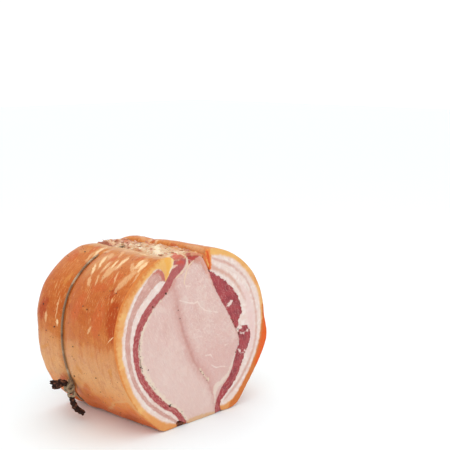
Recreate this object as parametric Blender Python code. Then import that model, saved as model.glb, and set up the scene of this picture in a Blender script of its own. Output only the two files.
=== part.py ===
"""Half of a tied pork roll: belly with its rind wrapped round a loin, cut across at the front.

The cut section is drawn once, in millimetres, as lines that run from the top seam down to the
table. Each layer is the band between two of these lines. The roll is that section carried back
from the cut, drawn in by a turn of twine and rounded at its far end.
"""
from math import cos, hypot, pi, sin

import bmesh
import bpy
from mathutils import Matrix, Vector, noise
from mathutils.geometry import convex_hull_2d

# Driving dimensions of the roll
LENGTH = 0.148
MIDDLE_HEIGHT = 0.090
GAP = 0.0003
MM = 0.001

# The section's drawing has its zero at the foot of the left wrap; this is its distance to the middle
DRAWING_MIDDLE = 45.0

# Twine: its distance behind the cut, and the flat of the groove that it has pulled into the meat
TWINE_PLACE = 0.095
TWINE_FLAT = (0.093, 0.097)
TWINE_RADIUS = 0.0015
TWINE_CLEAR = 2 * GAP

# Knot: where it sits on the section's drawing, its radii, how far it stands out, the turn over it
KNOT_SPOT = (-50.0, 33.0)
KNOT_SIZE = (0.0050, 0.0060, 0.0068)
KNOT_RISE = 0.0064
KNOT_TURN = (0.0058, 0.0012, 0.0066)
KNOT_TURN_STEPS = 16

# Charred ends: mm to the right of the knot, distance behind the cut, mm above the knot, radius
TAIL_BACK = (
    (-1.0, 0.095, 2.0, 0.0027), (-6.0, 0.100, 5.0, 0.0035), (-11.0, 0.106, 4.0, 0.0030),
    (-14.0, 0.112, 5.0, 0.0019),
)
TAIL_PRONG = ((-7.0, 0.101, 4.0, 0.0027), (-11.0, 0.105, 0.5, 0.0027), (-14.0, 0.109, 0.0, 0.0016))
TAIL_FRONT = (
    (-1.0, 0.094, -3.0, 0.0027), (-2.0, 0.092, -12.0, 0.0024), (1.0, 0.089, -22.0, 0.0027),
    (8.0, 0.085, -28.6, 0.0024),
)

# Distance behind the cut, the section's width and height there as shares of the cut's, and how far
# (mm) the seam's left lip leans to the right, the underside sinks and the lower left side spreads
STATIONS = (
    (0.000, 1.000, 1.000, 0.0, 0.0, 0.0), (0.018, 1.002, 1.002, -6.0, 0.0, 0.0),
    (0.045, 0.998, 1.004, -3.0, 0.0, 0.0), (0.072, 0.980, 1.000, 0.0, 0.0, 1.0),
    (0.086, 0.950, 0.986, 2.0, 1.5, 4.0), (TWINE_FLAT[0], 0.922, 0.953, 3.0, 0.0, 5.5),
    (TWINE_FLAT[1], 0.922, 0.953, 3.0, 0.0, 5.5), (0.105, 0.942, 0.974, 3.0, 0.8, 5.5),
    (0.118, 0.952, 0.984, 3.0, 0.0, 5.5), (0.130, 0.942, 0.968, 3.0, 0.6, 7.0),
    (0.139, 0.912, 0.932, 3.0, 2.0, 10.0), (0.145, 0.858, 0.874, 3.0, 5.0, 12.0),
    (LENGTH, 0.780, 0.790, 3.0, 8.0, 12.0),
)

# The underside sinks in full at the table and not at all above this height (drawing's mm)
SINK_HEIGHT = 50.0

# The spread is full below the lower height and left of the smaller distance (drawing's mm)
SPREAD_HEIGHTS = (30.0, 95.0)
SPREAD_SIDES = (-10.0, 60.0)

# The lip leans in full above the higher height and left of the smaller distance (drawing's mm)
LEAN_HEIGHTS = (150.0, 175.0)
LEAN_SIDES = (15.0, 55.0)

# Steps of each line over the seam, and from the seam down to the table
TOP_STEPS = 5
SIDE_STEPS = 20

# Where two lines start from one tip, their band starts this share of the first step away from it
TIP_SHARE = 0.2

# Lines at the left: skin, outer fat, streak, inner fat and red lean, each from seam to table
SKIN_LIP = ((11.5, 178.3), (9.5, 179.6), (6.0, 180.3))
SKIN_LEFT = (
    (6.0, 180.3), (1.0, 180.4), (-8.0, 179.3), (-31.0, 168.4), (-54.0, 145.0), (-65.0, 117.0),
    (-64.0, 88.0), (-53.0, 56.0), (-34.0, 27.0), (-15.5, 9.5), (-3.5, 0.6), (15.5, 0.0),
)
LIP_EDGE = ((13.0, 176.3), (11.5, 169.5), (6.5, 163.0), (1.2, 156.0))
STREAK_OUTER = (
    (1.2, 156.0), (-1.5, 166.0), (-9.5, 170.5), (-26.0, 158.0), (-43.0, 135.8), (-51.2, 113.0),
    (-51.8, 89.5), (-43.7, 61.5), (-26.0, 35.6), (-7.0, 18.8), (4.6, 11.0), (14.0, 4.4),
)
STREAK_INNER = (
    (1.2, 156.0), (-3.0, 157.5), (-9.5, 156.0), (-20.8, 147.8), (-37.6, 131.0), (-45.2, 111.6),
    (-46.3, 90.0), (-39.6, 63.9), (-24.2, 39.3), (-5.4, 22.6), (7.0, 13.8), (16.0, 6.2),
)
LEAN_OUTER = (
    (1.2, 156.0), (-2.4, 151.5), (-7.4, 147.0), (-16.6, 140.8), (-31.2, 126.6), (-40.3, 110.0),
    (-42.8, 90.5), (-37.0, 65.3), (-21.2, 41.3), (-3.4, 24.6), (10.6, 15.8), (18.4, 6.0),
)
LEAN_TOP = ((30.5, 176.5), (29.5, 169.0), (23.0, 163.0), (15.5, 158.0), (9.5, 151.5))
LEAN_INNER = (
    (9.5, 151.5), (4.0, 145.5), (-3.6, 139.6), (-12.0, 134.0), (-24.0, 121.0), (-32.4, 108.5),
    (-35.6, 91.0), (-30.8, 68.3), (-14.4, 45.0), (2.2, 28.3), (17.8, 17.0), (31.0, 0.0),
)

# The joint between the two muscles of the loin
LOIN_JOINT = (
    (9.5, 151.5), (15.0, 141.0), (18.3, 126.0), (22.3, 110.0), (30.0, 88.0), (38.5, 69.0),
    (50.0, 52.0), (61.0, 39.0), (68.0, 22.0), (71.0, 9.0), (71.3, 0.0),
)

# Lines at the right: loin, red lean and skin
LOIN_DOME = ((33.0, 176.8), (43.0, 176.5), (52.0, 174.3), (58.0, 166.5), (63.5, 155.5))
LOIN_RIGHT = (
    (63.5, 155.5), (67.0, 147.5), (72.5, 137.5), (79.0, 126.5), (87.0, 115.0), (93.5, 106.0),
    (96.8, 100.0), (100.2, 94.0), (104.6, 87.0), (108.0, 80.0), (107.8, 69.0), (103.3, 58.0),
    (95.0, 38.0), (80.5, 24.5), (73.0, 10.0), (71.8, 0.0),
)
LEAN_RIGHT = (
    (65.5, 157.0), (72.0, 153.5), (82.0, 147.0), (94.6, 138.2), (105.4, 126.5), (111.8, 113.0),
    (114.4, 103.5), (108.5, 96.5), (112.5, 89.5), (122.6, 87.0), (127.6, 74.5), (118.6, 56.0),
    (105.0, 32.0), (87.0, 17.0), (79.6, 9.0), (81.5, 1.5),
)
SKIN_RIGHT = (
    (64.2, 159.0), (58.8, 172.0), (61.5, 180.5), (80.0, 179.0), (105.0, 168.5), (129.0, 149.5),
    (143.0, 128.5), (149.0, 109.0), (151.5, 93.0), (155.5, 78.0), (155.0, 65.5), (144.0, 46.0),
    (125.0, 22.5), (107.0, 3.5), (96.0, 0.0), (85.5, 0.0),
)

# Herb crust in the seam: its underside, its thickness and the grid of its relief
CRUST_FLOOR = ((14.6, 177.4), (24.0, 177.9), (34.0, 178.2), (43.5, 178.0), (51.5, 176.0), (56.0, 172.4))
CRUST_THICKNESS = 2.6
CRUST_RELIEF = 1.5
CRUST_CRAG = 9.0
CRUST_LEAST = 1.0
CRUST_ACROSS = 16
CRUST_STEP = 0.0062
CRUST_START = 0.0035
CRUST_END = STATIONS[-2][0]
CRUST_SEED = Vector((3.1, 7.7, 1.9))

# The crust thins out over these widths at its sides (mm) and ends, down to these shares
CRUST_SIDE = 5.0
CRUST_SIDE_SHARE = 0.25
CRUST_TIP = 0.006
CRUST_TIP_SHARE = 0.3

# Lumps of fat in the crust: place across (mm), distance behind the cut, height and radius (mm)
FAT_LUMPS = ((38.0, 0.045, 2.2, 7.0), (22.0, 0.078, 1.3, 6.0), (47.0, 0.112, 1.6, 8.0))


def between(table, place):
    """Reads a table whose rows start with a place, straight from one row to the next."""
    for low, high in zip(table, table[1:]):
        if place <= high[0]:
            share = (place - low[0]) / (high[0] - low[0])
            return [a + (b - a) * share for a, b in zip(low[1:], high[1:])]
    return table[-1][1:]


def share_of(value, low, high):
    """How far a value has come from low to high, kept to the range from 0 to 1."""
    return max(0.0, min(1.0, (value - low) / (high - low)))


def smooth_line(points, steps):
    """A smooth line through points, as steps + 1 samples. Handles are a third of each span."""
    knots = [Vector(point) for point in points]
    last = len(knots) - 1
    aims = [(knots[min(i + 1, last)] - knots[max(i - 1, 0)]).normalized() for i in range(last + 1)]
    samples = []
    for step in range(steps + 1):
        place = step * last / steps
        span = min(int(place), last - 1)
        t = place - span
        a, b = knots[span], knots[span + 1]
        reach = (b - a).length / 3
        first, second = a + aims[span] * reach, b - aims[span + 1] * reach
        u = 1 - t
        samples.append(a * u ** 3 + first * 3 * u * u * t + second * 3 * u * t * t + b * t ** 3)
    return samples


def placed(point, back):
    """Carries a point of the drawing back from the cut, into the roll's own frame."""
    x, z = point
    height = share_of(z, *LEAN_HEIGHTS)
    side = 1.0 - share_of(x, *LEAN_SIDES)
    wide, high, lip_shift, sink, spread = between(STATIONS, back)
    low, left = 1.0 - share_of(z, *SPREAD_HEIGHTS), 1.0 - share_of(x, *SPREAD_SIDES)
    x += lip_shift * height * side - spread * low * left
    across = (x - DRAWING_MIDDLE) * MM * wide
    up = MIDDLE_HEIGHT + (z * MM - MIDDLE_HEIGHT) * high
    up -= sink * MM * (1.0 - share_of(z, 0.0, SINK_HEIGHT))
    return Vector((across, back - LENGTH / 2, max(up, 0.0)))


def new_object(name, mesh, collection, material=None):
    thing = bpy.data.objects.new(name, mesh)
    collection.objects.link(thing)
    if material:
        mesh.materials.append(material)
    return thing


def plain_material(name, colour, roughness):
    material = bpy.data.materials.new(name)
    material.use_nodes = True
    shader = material.node_tree.nodes["Principled BSDF"]
    shader.inputs["Base Color"].default_value = (*colour, 1.0)
    shader.inputs["Roughness"].default_value = roughness
    material.diffuse_color = (*colour, 1.0)
    return material


def swept_solid(name, rows, stations, place):
    """Lofts a sheet of rows through the stations: the sheet closes both ends, its border the sides."""
    high, wide = len(rows), len(rows[0])
    border = [(0, j) for j in range(wide)] + [(i, wide - 1) for i in range(1, high)]
    border += [(high - 1, j) for j in range(wide - 2, -1, -1)] + [(i, 0) for i in range(high - 2, 0, -1)]
    sheet = [(i, j) for i in range(high) for j in range(wide)]
    bm = bmesh.new()
    rings = []
    for back in stations:
        spots = sheet if back in (stations[0], stations[-1]) else border
        rings.append({spot: bm.verts.new(place(rows[spot[0]][spot[1]], back)) for spot in spots})
    for near, far in zip(rings, rings[1:]):
        for a, b in zip(border, border[1:] + border[:1]):
            a, b = sorted((a, b), key=lambda spot: spot[1])
            bm.faces.new((near[a], near[b], far[b]))
            bm.faces.new((near[a], far[b], far[a]))
    for ring in (rings[0], rings[-1]):
        for i in range(high - 1):
            for j in range(wide - 1):
                bm.faces.new((ring[i, j], ring[i, j + 1], ring[i + 1, j + 1], ring[i + 1, j]))
    bmesh.ops.recalc_face_normals(bm, faces=bm.faces)
    mesh = bpy.data.meshes.new(name)
    bm.to_mesh(mesh)
    bm.free()
    return mesh


def drawn_in(line, toward):
    """The line moved half a gap sideways, to the side where the other line of its band lies."""
    last = len(line) - 1
    along = [line[min(i + 1, last)] - line[max(i - 1, 0)] for i in range(last + 1)]
    sideways = [Vector((-step.y, step.x)).normalized() for step in along]
    lean = sum(side.dot(other - point) for side, other, point in zip(sideways, toward, line))
    depth = GAP / 2 / MM if lean > 0 else -GAP / 2 / MM
    return [point + side * depth for point, side in zip(line, sideways)]


def off_tip(line):
    """The line without the very tip that it shares with the other line of its band."""
    return [line[0].lerp(line[1], TIP_SHARE)] + line[1:]


def band(name, outer, inner, across, collection, material):
    """The layer between two lines of the section, half a gap inside each."""
    outside, inside = drawn_in(outer, inner), drawn_in(inner, outer)
    rows = [[a.lerp(b, step / across) for a, b in zip(outside, inside)] for step in range(across + 1)]
    mesh = swept_solid(name, rows, [station[0] for station in STATIONS], placed)
    new_object(name, mesh, collection, material)


def crust_lift(x, back):
    """Thickness of the herb crust (mm) away from its borders: crags, and a few lumps of fat."""
    crag = noise.fractal(Vector((x, back / MM, 0.0)) / CRUST_CRAG + CRUST_SEED, 0.6, 2.1, 3)
    lift = CRUST_THICKNESS + CRUST_RELIEF * crag
    for lump_x, lump_back, high, wide in FAT_LUMPS:
        away = hypot(x - lump_x, (back - lump_back) / MM) / wide
        lift += high * max(0.0, 1.0 - away * away)
    return max(lift, CRUST_LEAST)


def thinned(distance, width, least):
    """Share of the crust's thickness at a distance from its border."""
    return least + (1.0 - least) * share_of(distance, 0.0, width)


def crust_top(x, back):
    """Thickness of the herb crust (mm) at a place, thinned out towards its borders."""
    side = min(x - CRUST_FLOOR[0][0], CRUST_FLOOR[-1][0] - x)
    tip = min(back - CRUST_START, CRUST_END - back)
    shares = thinned(side, CRUST_SIDE, CRUST_SIDE_SHARE) * thinned(tip, CRUST_TIP, CRUST_TIP_SHARE)
    return crust_lift(x, back) * shares


def herb_crust(collection, material):
    floor = smooth_line(CRUST_FLOOR, CRUST_ACROSS)
    rows = [[(point[0], point[1], share) for point in floor] for share in (0.0, 1.0)]
    stations = [CRUST_START]
    for (start, *_), (end, *_) in zip(STATIONS[:-2], STATIONS[1:-1]):
        count = max(1, round((end - start) / CRUST_STEP))
        stations += [start + (end - start) * (i + 1) / count for i in range(count)]

    def place(point, back):
        x, z, share = point
        return placed((x, z + share * crust_top(x, back)), back)

    new_object("herb_crust", swept_solid("herb_crust", rows, stations, place), collection, material)


def twine_line(section):
    """The turn of twine: the hull of the section at its plane, let out by the twine's radius."""
    hull = []
    for spot in (section[i] for i in convex_hull_2d(section)):
        if not hull or (spot - hull[-1]).length > TWINE_RADIUS:
            hull.append(spot)
    let_out = TWINE_RADIUS + TWINE_CLEAR
    line = []
    for before, spot, after in zip(hull[-1:] + hull[:-1], hull, hull[1:] + hull[:1]):
        first, second = (spot - before).normalized(), (after - spot).normalized()
        out = Vector((first.y + second.y, -first.x - second.x))
        if out.dot(spot) < 0:
            out = -out
        spot = spot + out * let_out / (1 + first.dot(second))
        line.append(Vector((spot.x, TWINE_PLACE - LENGTH / 2, spot.y + MIDDLE_HEIGHT)))
    return line


def tube(name, points, radii, closed, collection):
    """A round tube along points, closed to a ring or capped, as one closed mesh."""
    curve = bpy.data.curves.new(name, "CURVE")
    curve.dimensions = "3D"
    curve.bevel_depth = 1.0
    curve.bevel_resolution = 2
    curve.use_fill_caps = True
    spline = curve.splines.new("POLY")
    spline.points.add(len(points) - 1)
    for spot, point, radius in zip(spline.points, points, radii):
        spot.co = (*point, 1.0)
        spot.radius = radius
    spline.use_cyclic_u = closed
    guide = new_object(name, curve, collection)
    bpy.context.view_layer.update()
    mesh = bpy.data.meshes.new_from_object(guide.evaluated_get(bpy.context.evaluated_depsgraph_get()))
    bm = bmesh.new()
    bm.from_mesh(mesh)
    bmesh.ops.remove_doubles(bm, verts=bm.verts, dist=1e-6)
    bmesh.ops.recalc_face_normals(bm, faces=bm.faces)
    bm.to_mesh(mesh)
    bm.free()
    bpy.data.objects.remove(guide)
    return new_object(name, mesh, collection)


def tail(name, centre, route, collection):
    """A charred end of the twine, along a route that starts at the knot's centre."""
    points = [Vector((centre.x + x * MM, back - LENGTH / 2, centre.z + z * MM)) for x, back, z, _ in route]
    steps = 2 * len(route)
    radii = [(i / (len(route) - 1), radius) for i, (*_, radius) in enumerate(route)]
    widths = [between(radii, step / steps)[0] for step in range(steps + 1)]
    tube(name, smooth_line(points, steps), widths, False, collection)


def knot(centre, collection):
    """The knot's body, and the turn of twine that is pulled tight over it."""
    bm = bmesh.new()
    frame = Matrix.LocRotScale(centre, None, Vector(KNOT_SIZE))
    bmesh.ops.create_uvsphere(bm, u_segments=14, v_segments=8, radius=1.0, matrix=frame)
    body = bpy.data.meshes.new("knot_body")
    bm.to_mesh(body)
    bm.free()
    new_object("knot_body", body, collection)
    wide, deep, high = KNOT_TURN
    angles = [2 * pi * i / KNOT_TURN_STEPS for i in range(KNOT_TURN_STEPS)]
    loop = [centre + Vector((wide * cos(a), deep * cos(a), high * sin(a))) for a in angles]
    tube("knot_turn", loop, [TWINE_RADIUS] * KNOT_TURN_STEPS, True, collection)


def twine(section, collection, pieces, material):
    """The turn, the knot and its two ends, joined to one solid."""
    line = twine_line(section)
    turn = tube("twine_turn", line, [TWINE_RADIUS] * len(line), True, pieces)
    foot = Vector(((KNOT_SPOT[0] - DRAWING_MIDDLE) * MM, line[0].y, KNOT_SPOT[1] * MM))
    spot = min(line, key=lambda point: (point - foot).length)
    out = Vector((spot.x, 0.0, spot.z - MIDDLE_HEIGHT)).normalized()
    centre = spot + out * KNOT_RISE
    knot(centre, pieces)
    tail("tail_back", centre, TAIL_BACK, pieces)
    tail("tail_prong", centre, TAIL_PRONG, pieces)
    tail("tail_front", centre, TAIL_FRONT, pieces)
    whole = new_object("twine", turn.data.copy(), collection, material)
    bpy.data.objects.remove(turn)
    joined = whole.modifiers.new("joined", "BOOLEAN")
    joined.operation = "UNION"
    joined.operand_type = "COLLECTION"
    joined.collection = pieces
    bpy.context.view_layer.update()
    mesh = bpy.data.meshes.new_from_object(whole.evaluated_get(bpy.context.evaluated_depsgraph_get()))
    whole.modifiers.clear()
    whole.data = mesh
    for piece in list(pieces.objects):
        bpy.data.objects.remove(piece)
    bpy.data.collections.remove(pieces)


def main():
    for thing in list(bpy.data.objects):
        bpy.data.objects.remove(thing)
    roll = bpy.data.collections.new("porchetta")
    pieces = bpy.data.collections.new("joined_pieces")
    for collection in (roll, pieces):
        bpy.context.scene.collection.children.link(collection)

    skin = plain_material("roasted_skin", (0.60, 0.25, 0.08), 0.35)
    streak = plain_material("streaky_lean", (0.63, 0.37, 0.31), 0.45)
    fat = plain_material("cooked_fat", (0.84, 0.70, 0.64), 0.40)
    belly = plain_material("roasted_belly", (0.62, 0.27, 0.08), 0.35)
    red_left = plain_material("red_lean", (0.40, 0.10, 0.10), 0.45)
    red_right = plain_material("red_lean_right", (0.42, 0.11, 0.10), 0.45)
    loin = plain_material("cooked_loin", (0.72, 0.48, 0.42), 0.50)
    loin_side = plain_material("cooked_loin_right", (0.70, 0.45, 0.39), 0.50)
    herbs = plain_material("herb_crust", (0.74, 0.58, 0.35), 0.70)
    string = plain_material("kitchen_twine", (0.26, 0.21, 0.14), 0.90)

    lip = smooth_line(LIP_EDGE, TOP_STEPS)
    skin_left = smooth_line(SKIN_LIP, TOP_STEPS) + smooth_line(SKIN_LEFT, SIDE_STEPS)[1:]
    streak_outer = smooth_line(STREAK_OUTER, SIDE_STEPS)
    streak_inner = smooth_line(STREAK_INNER, SIDE_STEPS)
    lean_outer = smooth_line(LEAN_OUTER, SIDE_STEPS)
    lean_top = smooth_line(LEAN_TOP, TOP_STEPS)
    lean_inner = smooth_line(LEAN_INNER, SIDE_STEPS)
    joint = smooth_line(LOIN_JOINT, SIDE_STEPS)
    loin_edge = smooth_line(LOIN_RIGHT, SIDE_STEPS)
    lean_edge = smooth_line(LEAN_RIGHT, SIDE_STEPS)
    skin_right = smooth_line(SKIN_RIGHT, SIDE_STEPS)

    band("belly_left_rind", skin_left, lip + streak_outer[1:], 2, roll, skin)
    band("belly_left_streak", off_tip(streak_outer), off_tip(streak_inner), 1, roll, streak)
    band("belly_left_fat", off_tip(streak_inner), off_tip(lean_outer), 1, roll, fat)
    band("lean_left", lip + lean_outer[1:], lean_top + lean_inner[1:], 1, roll, red_left)
    band("loin_left", off_tip(lean_inner), off_tip(joint), 4, roll, loin)
    loin_top = smooth_line(LOIN_DOME, TOP_STEPS)
    band("loin_right", lean_top + joint[1:], loin_top + loin_edge[1:], 4, roll, loin_side)
    band("lean_right", loin_edge, lean_edge, 1, roll, red_right)
    band("belly_right", lean_edge, skin_right, 2, roll, belly)
    herb_crust(roll, herbs)

    outline = [placed(point, TWINE_PLACE) for point in skin_left + skin_right]
    for x, z in smooth_line(CRUST_FLOOR, CRUST_ACROSS):
        outline += [placed((x, z + crust_top(x, back)), back) for back in TWINE_FLAT]
    section = [Vector((point.x, point.z - MIDDLE_HEIGHT)) for point in outline]
    twine(section, roll, pieces, string)


main()
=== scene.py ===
"""Half of a tied and roasted pork roll as it looks, lying on a plain studio floor.

The cut section is drawn once, in millimetres, as lines from the top seam down to the table. Each
layer is the band between two of these lines, carried back from the cut to the roll's far end.
"""

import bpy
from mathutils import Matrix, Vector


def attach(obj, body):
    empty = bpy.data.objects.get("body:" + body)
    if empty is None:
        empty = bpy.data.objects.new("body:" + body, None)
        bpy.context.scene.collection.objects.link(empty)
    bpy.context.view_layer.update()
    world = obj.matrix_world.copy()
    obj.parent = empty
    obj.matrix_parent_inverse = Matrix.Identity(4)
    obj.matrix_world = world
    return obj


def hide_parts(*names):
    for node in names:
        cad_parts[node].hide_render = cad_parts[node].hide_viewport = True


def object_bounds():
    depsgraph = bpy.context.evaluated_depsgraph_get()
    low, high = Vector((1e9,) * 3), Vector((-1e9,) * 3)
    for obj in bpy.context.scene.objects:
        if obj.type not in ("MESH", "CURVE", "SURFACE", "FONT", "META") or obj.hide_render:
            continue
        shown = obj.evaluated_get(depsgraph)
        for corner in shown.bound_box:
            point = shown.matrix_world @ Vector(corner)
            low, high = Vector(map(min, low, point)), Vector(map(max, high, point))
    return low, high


bl_info = {
    "name": "Pork Roll Half",
    "version": (1, 0, 0),
    "blender": (4, 5, 0),
    "location": "View3D > Sidebar > Pork Roll",
    "description": "Models the layers, herb crust and twine of half a roasted pork roll",
    "category": "Object",
}

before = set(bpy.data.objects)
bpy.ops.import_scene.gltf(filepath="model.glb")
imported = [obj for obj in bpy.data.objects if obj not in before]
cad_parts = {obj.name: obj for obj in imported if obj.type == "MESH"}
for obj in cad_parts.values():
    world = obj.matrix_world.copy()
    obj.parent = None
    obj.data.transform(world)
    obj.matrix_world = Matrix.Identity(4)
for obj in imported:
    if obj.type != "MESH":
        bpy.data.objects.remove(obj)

from collections import namedtuple
from math import atan2, cos, hypot, pi, radians, sin
from random import Random

import bmesh
import bpy
import numpy as np
from bpy.props import FloatProperty, FloatVectorProperty, IntProperty, PointerProperty
from mathutils import Euler, Matrix, Vector, noise
from mathutils.geometry import convex_hull_2d

CAD_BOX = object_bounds()
MM = 0.001

# Driving dimensions, in mm: the roll's length from the frame, its middle, and the drawing's zero
LENGTH = (CAD_BOX[1].y - CAD_BOX[0].y) / MM
MIDDLE_HEIGHT = 90.0
DRAWING_MIDDLE = 45.0

# Twine: distance behind the cut, the flat of its groove, its radius and the steps of its path
TWINE_PLACE = 95.0
TWINE_FLAT = (93.0, 97.0)
TWINE_RADIUS = 1.5
TWINE_STEP = 0.8
HULL_STEP = 4.0

# Knot: where it sits on the drawing, how far it stands out, and the steps of each loop
KNOT_SPOT = (-50.0, 33.0)
KNOT_RISE = 6.4
KNOT_STEPS = 48

# Loops of the knot: half width, half height, tilt, lean and shift from its centre
KNOT_LOOPS = (
    (4.2, 5.6, 0, 0.2, (0, 0, 0)), (4.8, 4.4, 0.9, -0.5, (0.5, -0.6, 1.2)),
    (3.6, 5, -0.8, 0.7, (0.8, -1.4, -1.6)), (3.4, 3.2, 0.4, 1.2, (1.6, -2, -4.4)),
    (3, 4, 1.3, 0.2, (-1.4, 0.8, 2.2)), (2.4, 2.8, -0.4, 0.6, (2.4, -2.6, 1)),
    (3.2, 4.8, 0.2, 0.5, (0, -6, -5.6)), (2.6, 4.2, 1, 0.1, (-0.6, -7.4, -8.8)),
    (3.6, 4.6, -0.3, 1, (-1.2, -5.2, -0.6)),
)

# Charred ends: mm to the right of the knot, distance behind the cut, mm above the knot, radius; and the
# steps of their paths and the length of one twist
TAIL_BACK = ((-3.6, 98, 3.4, 2.6), (-6.6, 101, 5, 3.5), (-11, 106, 4, 3), (-14, 112, 5, 1.9))
TAIL_PRONG = ((-7, 101, 4, 2.7), (-11, 105, 0.5, 2.7), (-14, 109, 0, 1.6))
TAIL_FRONT = ((-1.4, 92.6, -9, 2.4), (-1.4, 91.6, -14, 3), (1, 89, -22, 2.9), (8, 85, -28.6, 2.5))
TAIL_STEP = 0.6
TAIL_TWIST = 13.0

# Distance behind the cut, the section's width and height there as shares of the cut's, how far the
# seam's left lip leans to the right, how far the underside sinks to the table, and how far the lower
# left side spreads
STATIONS = (
    (0, 1, 1, 0, 0, 0), (18, 1.002, 1.002, -6, 0, 0), (45, 0.998, 1.004, -3, 0, 0),
    (72, 0.98, 1, 0, 0, 1), (86, 0.95, 0.986, 2, 1.5, 4), (93, 0.922, 0.953, 3, 0, 5.5),
    (97, 0.922, 0.953, 3, 0, 5.5), (105, 0.942, 0.974, 3, 0.8, 5.5), (118, 0.952, 0.984, 3, 0, 5.5),
    (130, 0.942, 0.968, 3, 0.6, 7), (139, 0.912, 0.932, 3, 2, 10), (145, 0.858, 0.874, 3, 5, 12),
    (LENGTH, 0.78, 0.79, 3, 8, 12),
)
SINK_HEIGHT = 50.0
SPREAD_HEIGHTS = (30.0, 95.0)
SPREAD_SIDES = (-10.0, 60.0)
LEAN_HEIGHTS = (150.0, 175.0)
LEAN_SIDES = (15.0, 55.0)

# How far the twine and its groove sway behind their place at heights of the drawing; the sway
# passes off towards the right under the roll
SWAY_HEIGHTS = (0, 9, 17, 25, 33, 60, 88, 115, 180)
SWAY = (30, 28, 23, 13, 6, 2, -0.6, -3.8, -3.8)
SWAY_SIDES = (0.0, 100.0)

# Meshes: steps of each line over the seam and down to the table in the solids, how much finer they are
# here, how many of the skin's rings go to one of an inner layer, how far rows crowd to the skin, and the
# width that the rows of the loin are counted over (mm)
TOP_STEPS = 5
SIDE_STEPS = 20
FINENESS = 12
INNER_STRIDE = 6
SKIN_CROWDING = 1.5
LOIN_WIDTH = 64.0
WELD = 2e-6
SHARP_ANGLE = radians(50)

# Ends of the roll: how far a rounded corner of the skin reaches, how far the far end lies inside, and the
# sizes and depths of the waves on each end (mm)
CORNER = 1.2
FAR_INSET = 2.4
CUT_WAVES = ((30.0, 7.0, 2.5), (0.45, 0.2, 0.12))
FAR_WAVES = ((26.0, 9.0), (2.4, 1.1))

# Lines at the seam, each up to where its line down the side starts
SEAM_LINES = {
    "skin_lip": ((11.5, 178.3), (9.5, 179.6), (6, 180.3)),
    "lip": ((13, 176.3), (11.5, 169.5), (6.5, 163), (1.2, 156)),
    "lean_top": ((30.5, 176.5), (29.5, 169), (23, 163), (15.5, 158), (9.5, 151.5)),
    "dome": ((33, 176.8), (43, 176.5), (52, 174.3), (58, 166.5), (63.5, 155.5)),
}

# Lines from the seam to the table: those at the left from the skin inwards, the joint between the two
# muscles of the loin, and those at the right from the loin outwards
SIDE_LINES = {
    "skin_left": (
        (6, 180.3), (1, 180.4), (-8, 179.3), (-31, 168.4), (-54, 145), (-65, 117), (-64, 88), (-53, 56),
        (-34, 27), (-15.5, 9.5), (-3.5, 0.6), (15.5, 0),
    ),
    "streak_outer": (
        (1.2, 156), (-1.5, 166), (-9.5, 170.5), (-26, 158), (-43, 135.8), (-51.2, 113), (-51.8, 89.5),
        (-43.7, 61.5), (-26, 35.6), (-7, 18.8), (4.6, 11), (14, 4.4),
    ),
    "streak_inner": (
        (1.2, 156), (-3, 157.5), (-9.5, 156), (-20.8, 147.8), (-37.6, 131), (-45.2, 111.6), (-46.3, 90),
        (-39.6, 63.9), (-24.2, 39.3), (-5.4, 22.6), (7, 13.8), (16, 6.2),
    ),
    "lean_outer": (
        (1.2, 156), (-2.4, 151.5), (-7.4, 147), (-16.6, 140.8), (-31.2, 126.6), (-40.3, 110),
        (-42.8, 90.5), (-37, 65.3), (-21.2, 41.3), (-3.4, 24.6), (10.6, 15.8), (18.4, 6),
    ),
    "lean_inner": (
        (9.5, 151.5), (4, 145.5), (-3.6, 139.6), (-12, 134), (-24, 121), (-32.4, 108.5), (-35.6, 91),
        (-30.8, 68.3), (-14.4, 45), (2.2, 28.3), (17.8, 17), (31, 0),
    ),
    "joint": (
        (9.5, 151.5), (15, 141), (18.3, 126), (22.3, 110), (30, 88), (38.5, 69), (50, 52), (61, 39),
        (68, 22), (71, 9), (71.3, 0),
    ),
    "loin_right": (
        (63.5, 155.5), (67, 147.5), (72.5, 137.5), (79, 126.5), (87, 115), (93.5, 106), (96.8, 100),
        (100.2, 94), (104.6, 87), (108, 80), (107.8, 69), (103.3, 58), (95, 38), (80.5, 24.5), (73, 10),
        (71.8, 0),
    ),
    "lean_right": (
        (65.5, 157), (72, 153.5), (82, 147), (94.6, 138.2), (105.4, 126.5), (111.8, 113), (114.4, 103.5),
        (108.5, 96.5), (112.5, 89.5), (122.6, 87), (127.6, 74.5), (118.6, 56), (105, 32), (87, 17),
        (79.6, 9), (81.5, 1.5),
    ),
    "skin_right": (
        (64.2, 159), (58.8, 172), (61.5, 180.5), (80, 179), (105, 168.5), (129, 149.5), (143, 128.5),
        (149, 109), (151.5, 93), (155.5, 78), (155, 65.5), (144, 46), (125, 22.5), (107, 3.5), (96, 0),
        (85.5, 0),
    ),
}

# Herb crust in the seam: its underside, thickness and relief, as its solid has them
CRUST_FLOOR = ((14.6, 177.4), (24, 177.9), (34, 178.2), (43.5, 178), (51.5, 176), (56, 172.4))
CRUST_THICKNESS = 2.6
CRUST_RELIEF = 1.5
CRUST_CRAG = 9.0
CRUST_LEAST = 1.0
CRUST_START = 3.5
CRUST_END = 145.0
CRUST_SEED = Vector((3.1, 7.7, 1.9))
CRUST_SIDE = 5.0
CRUST_SIDE_SHARE = 0.25
CRUST_TIP = 6.0
CRUST_TIP_SHARE = 0.3
FAT_LUMPS = ((38, 45, 2.2, 7), (22, 78, 1.3, 6), (47, 112, 1.6, 8))

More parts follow.
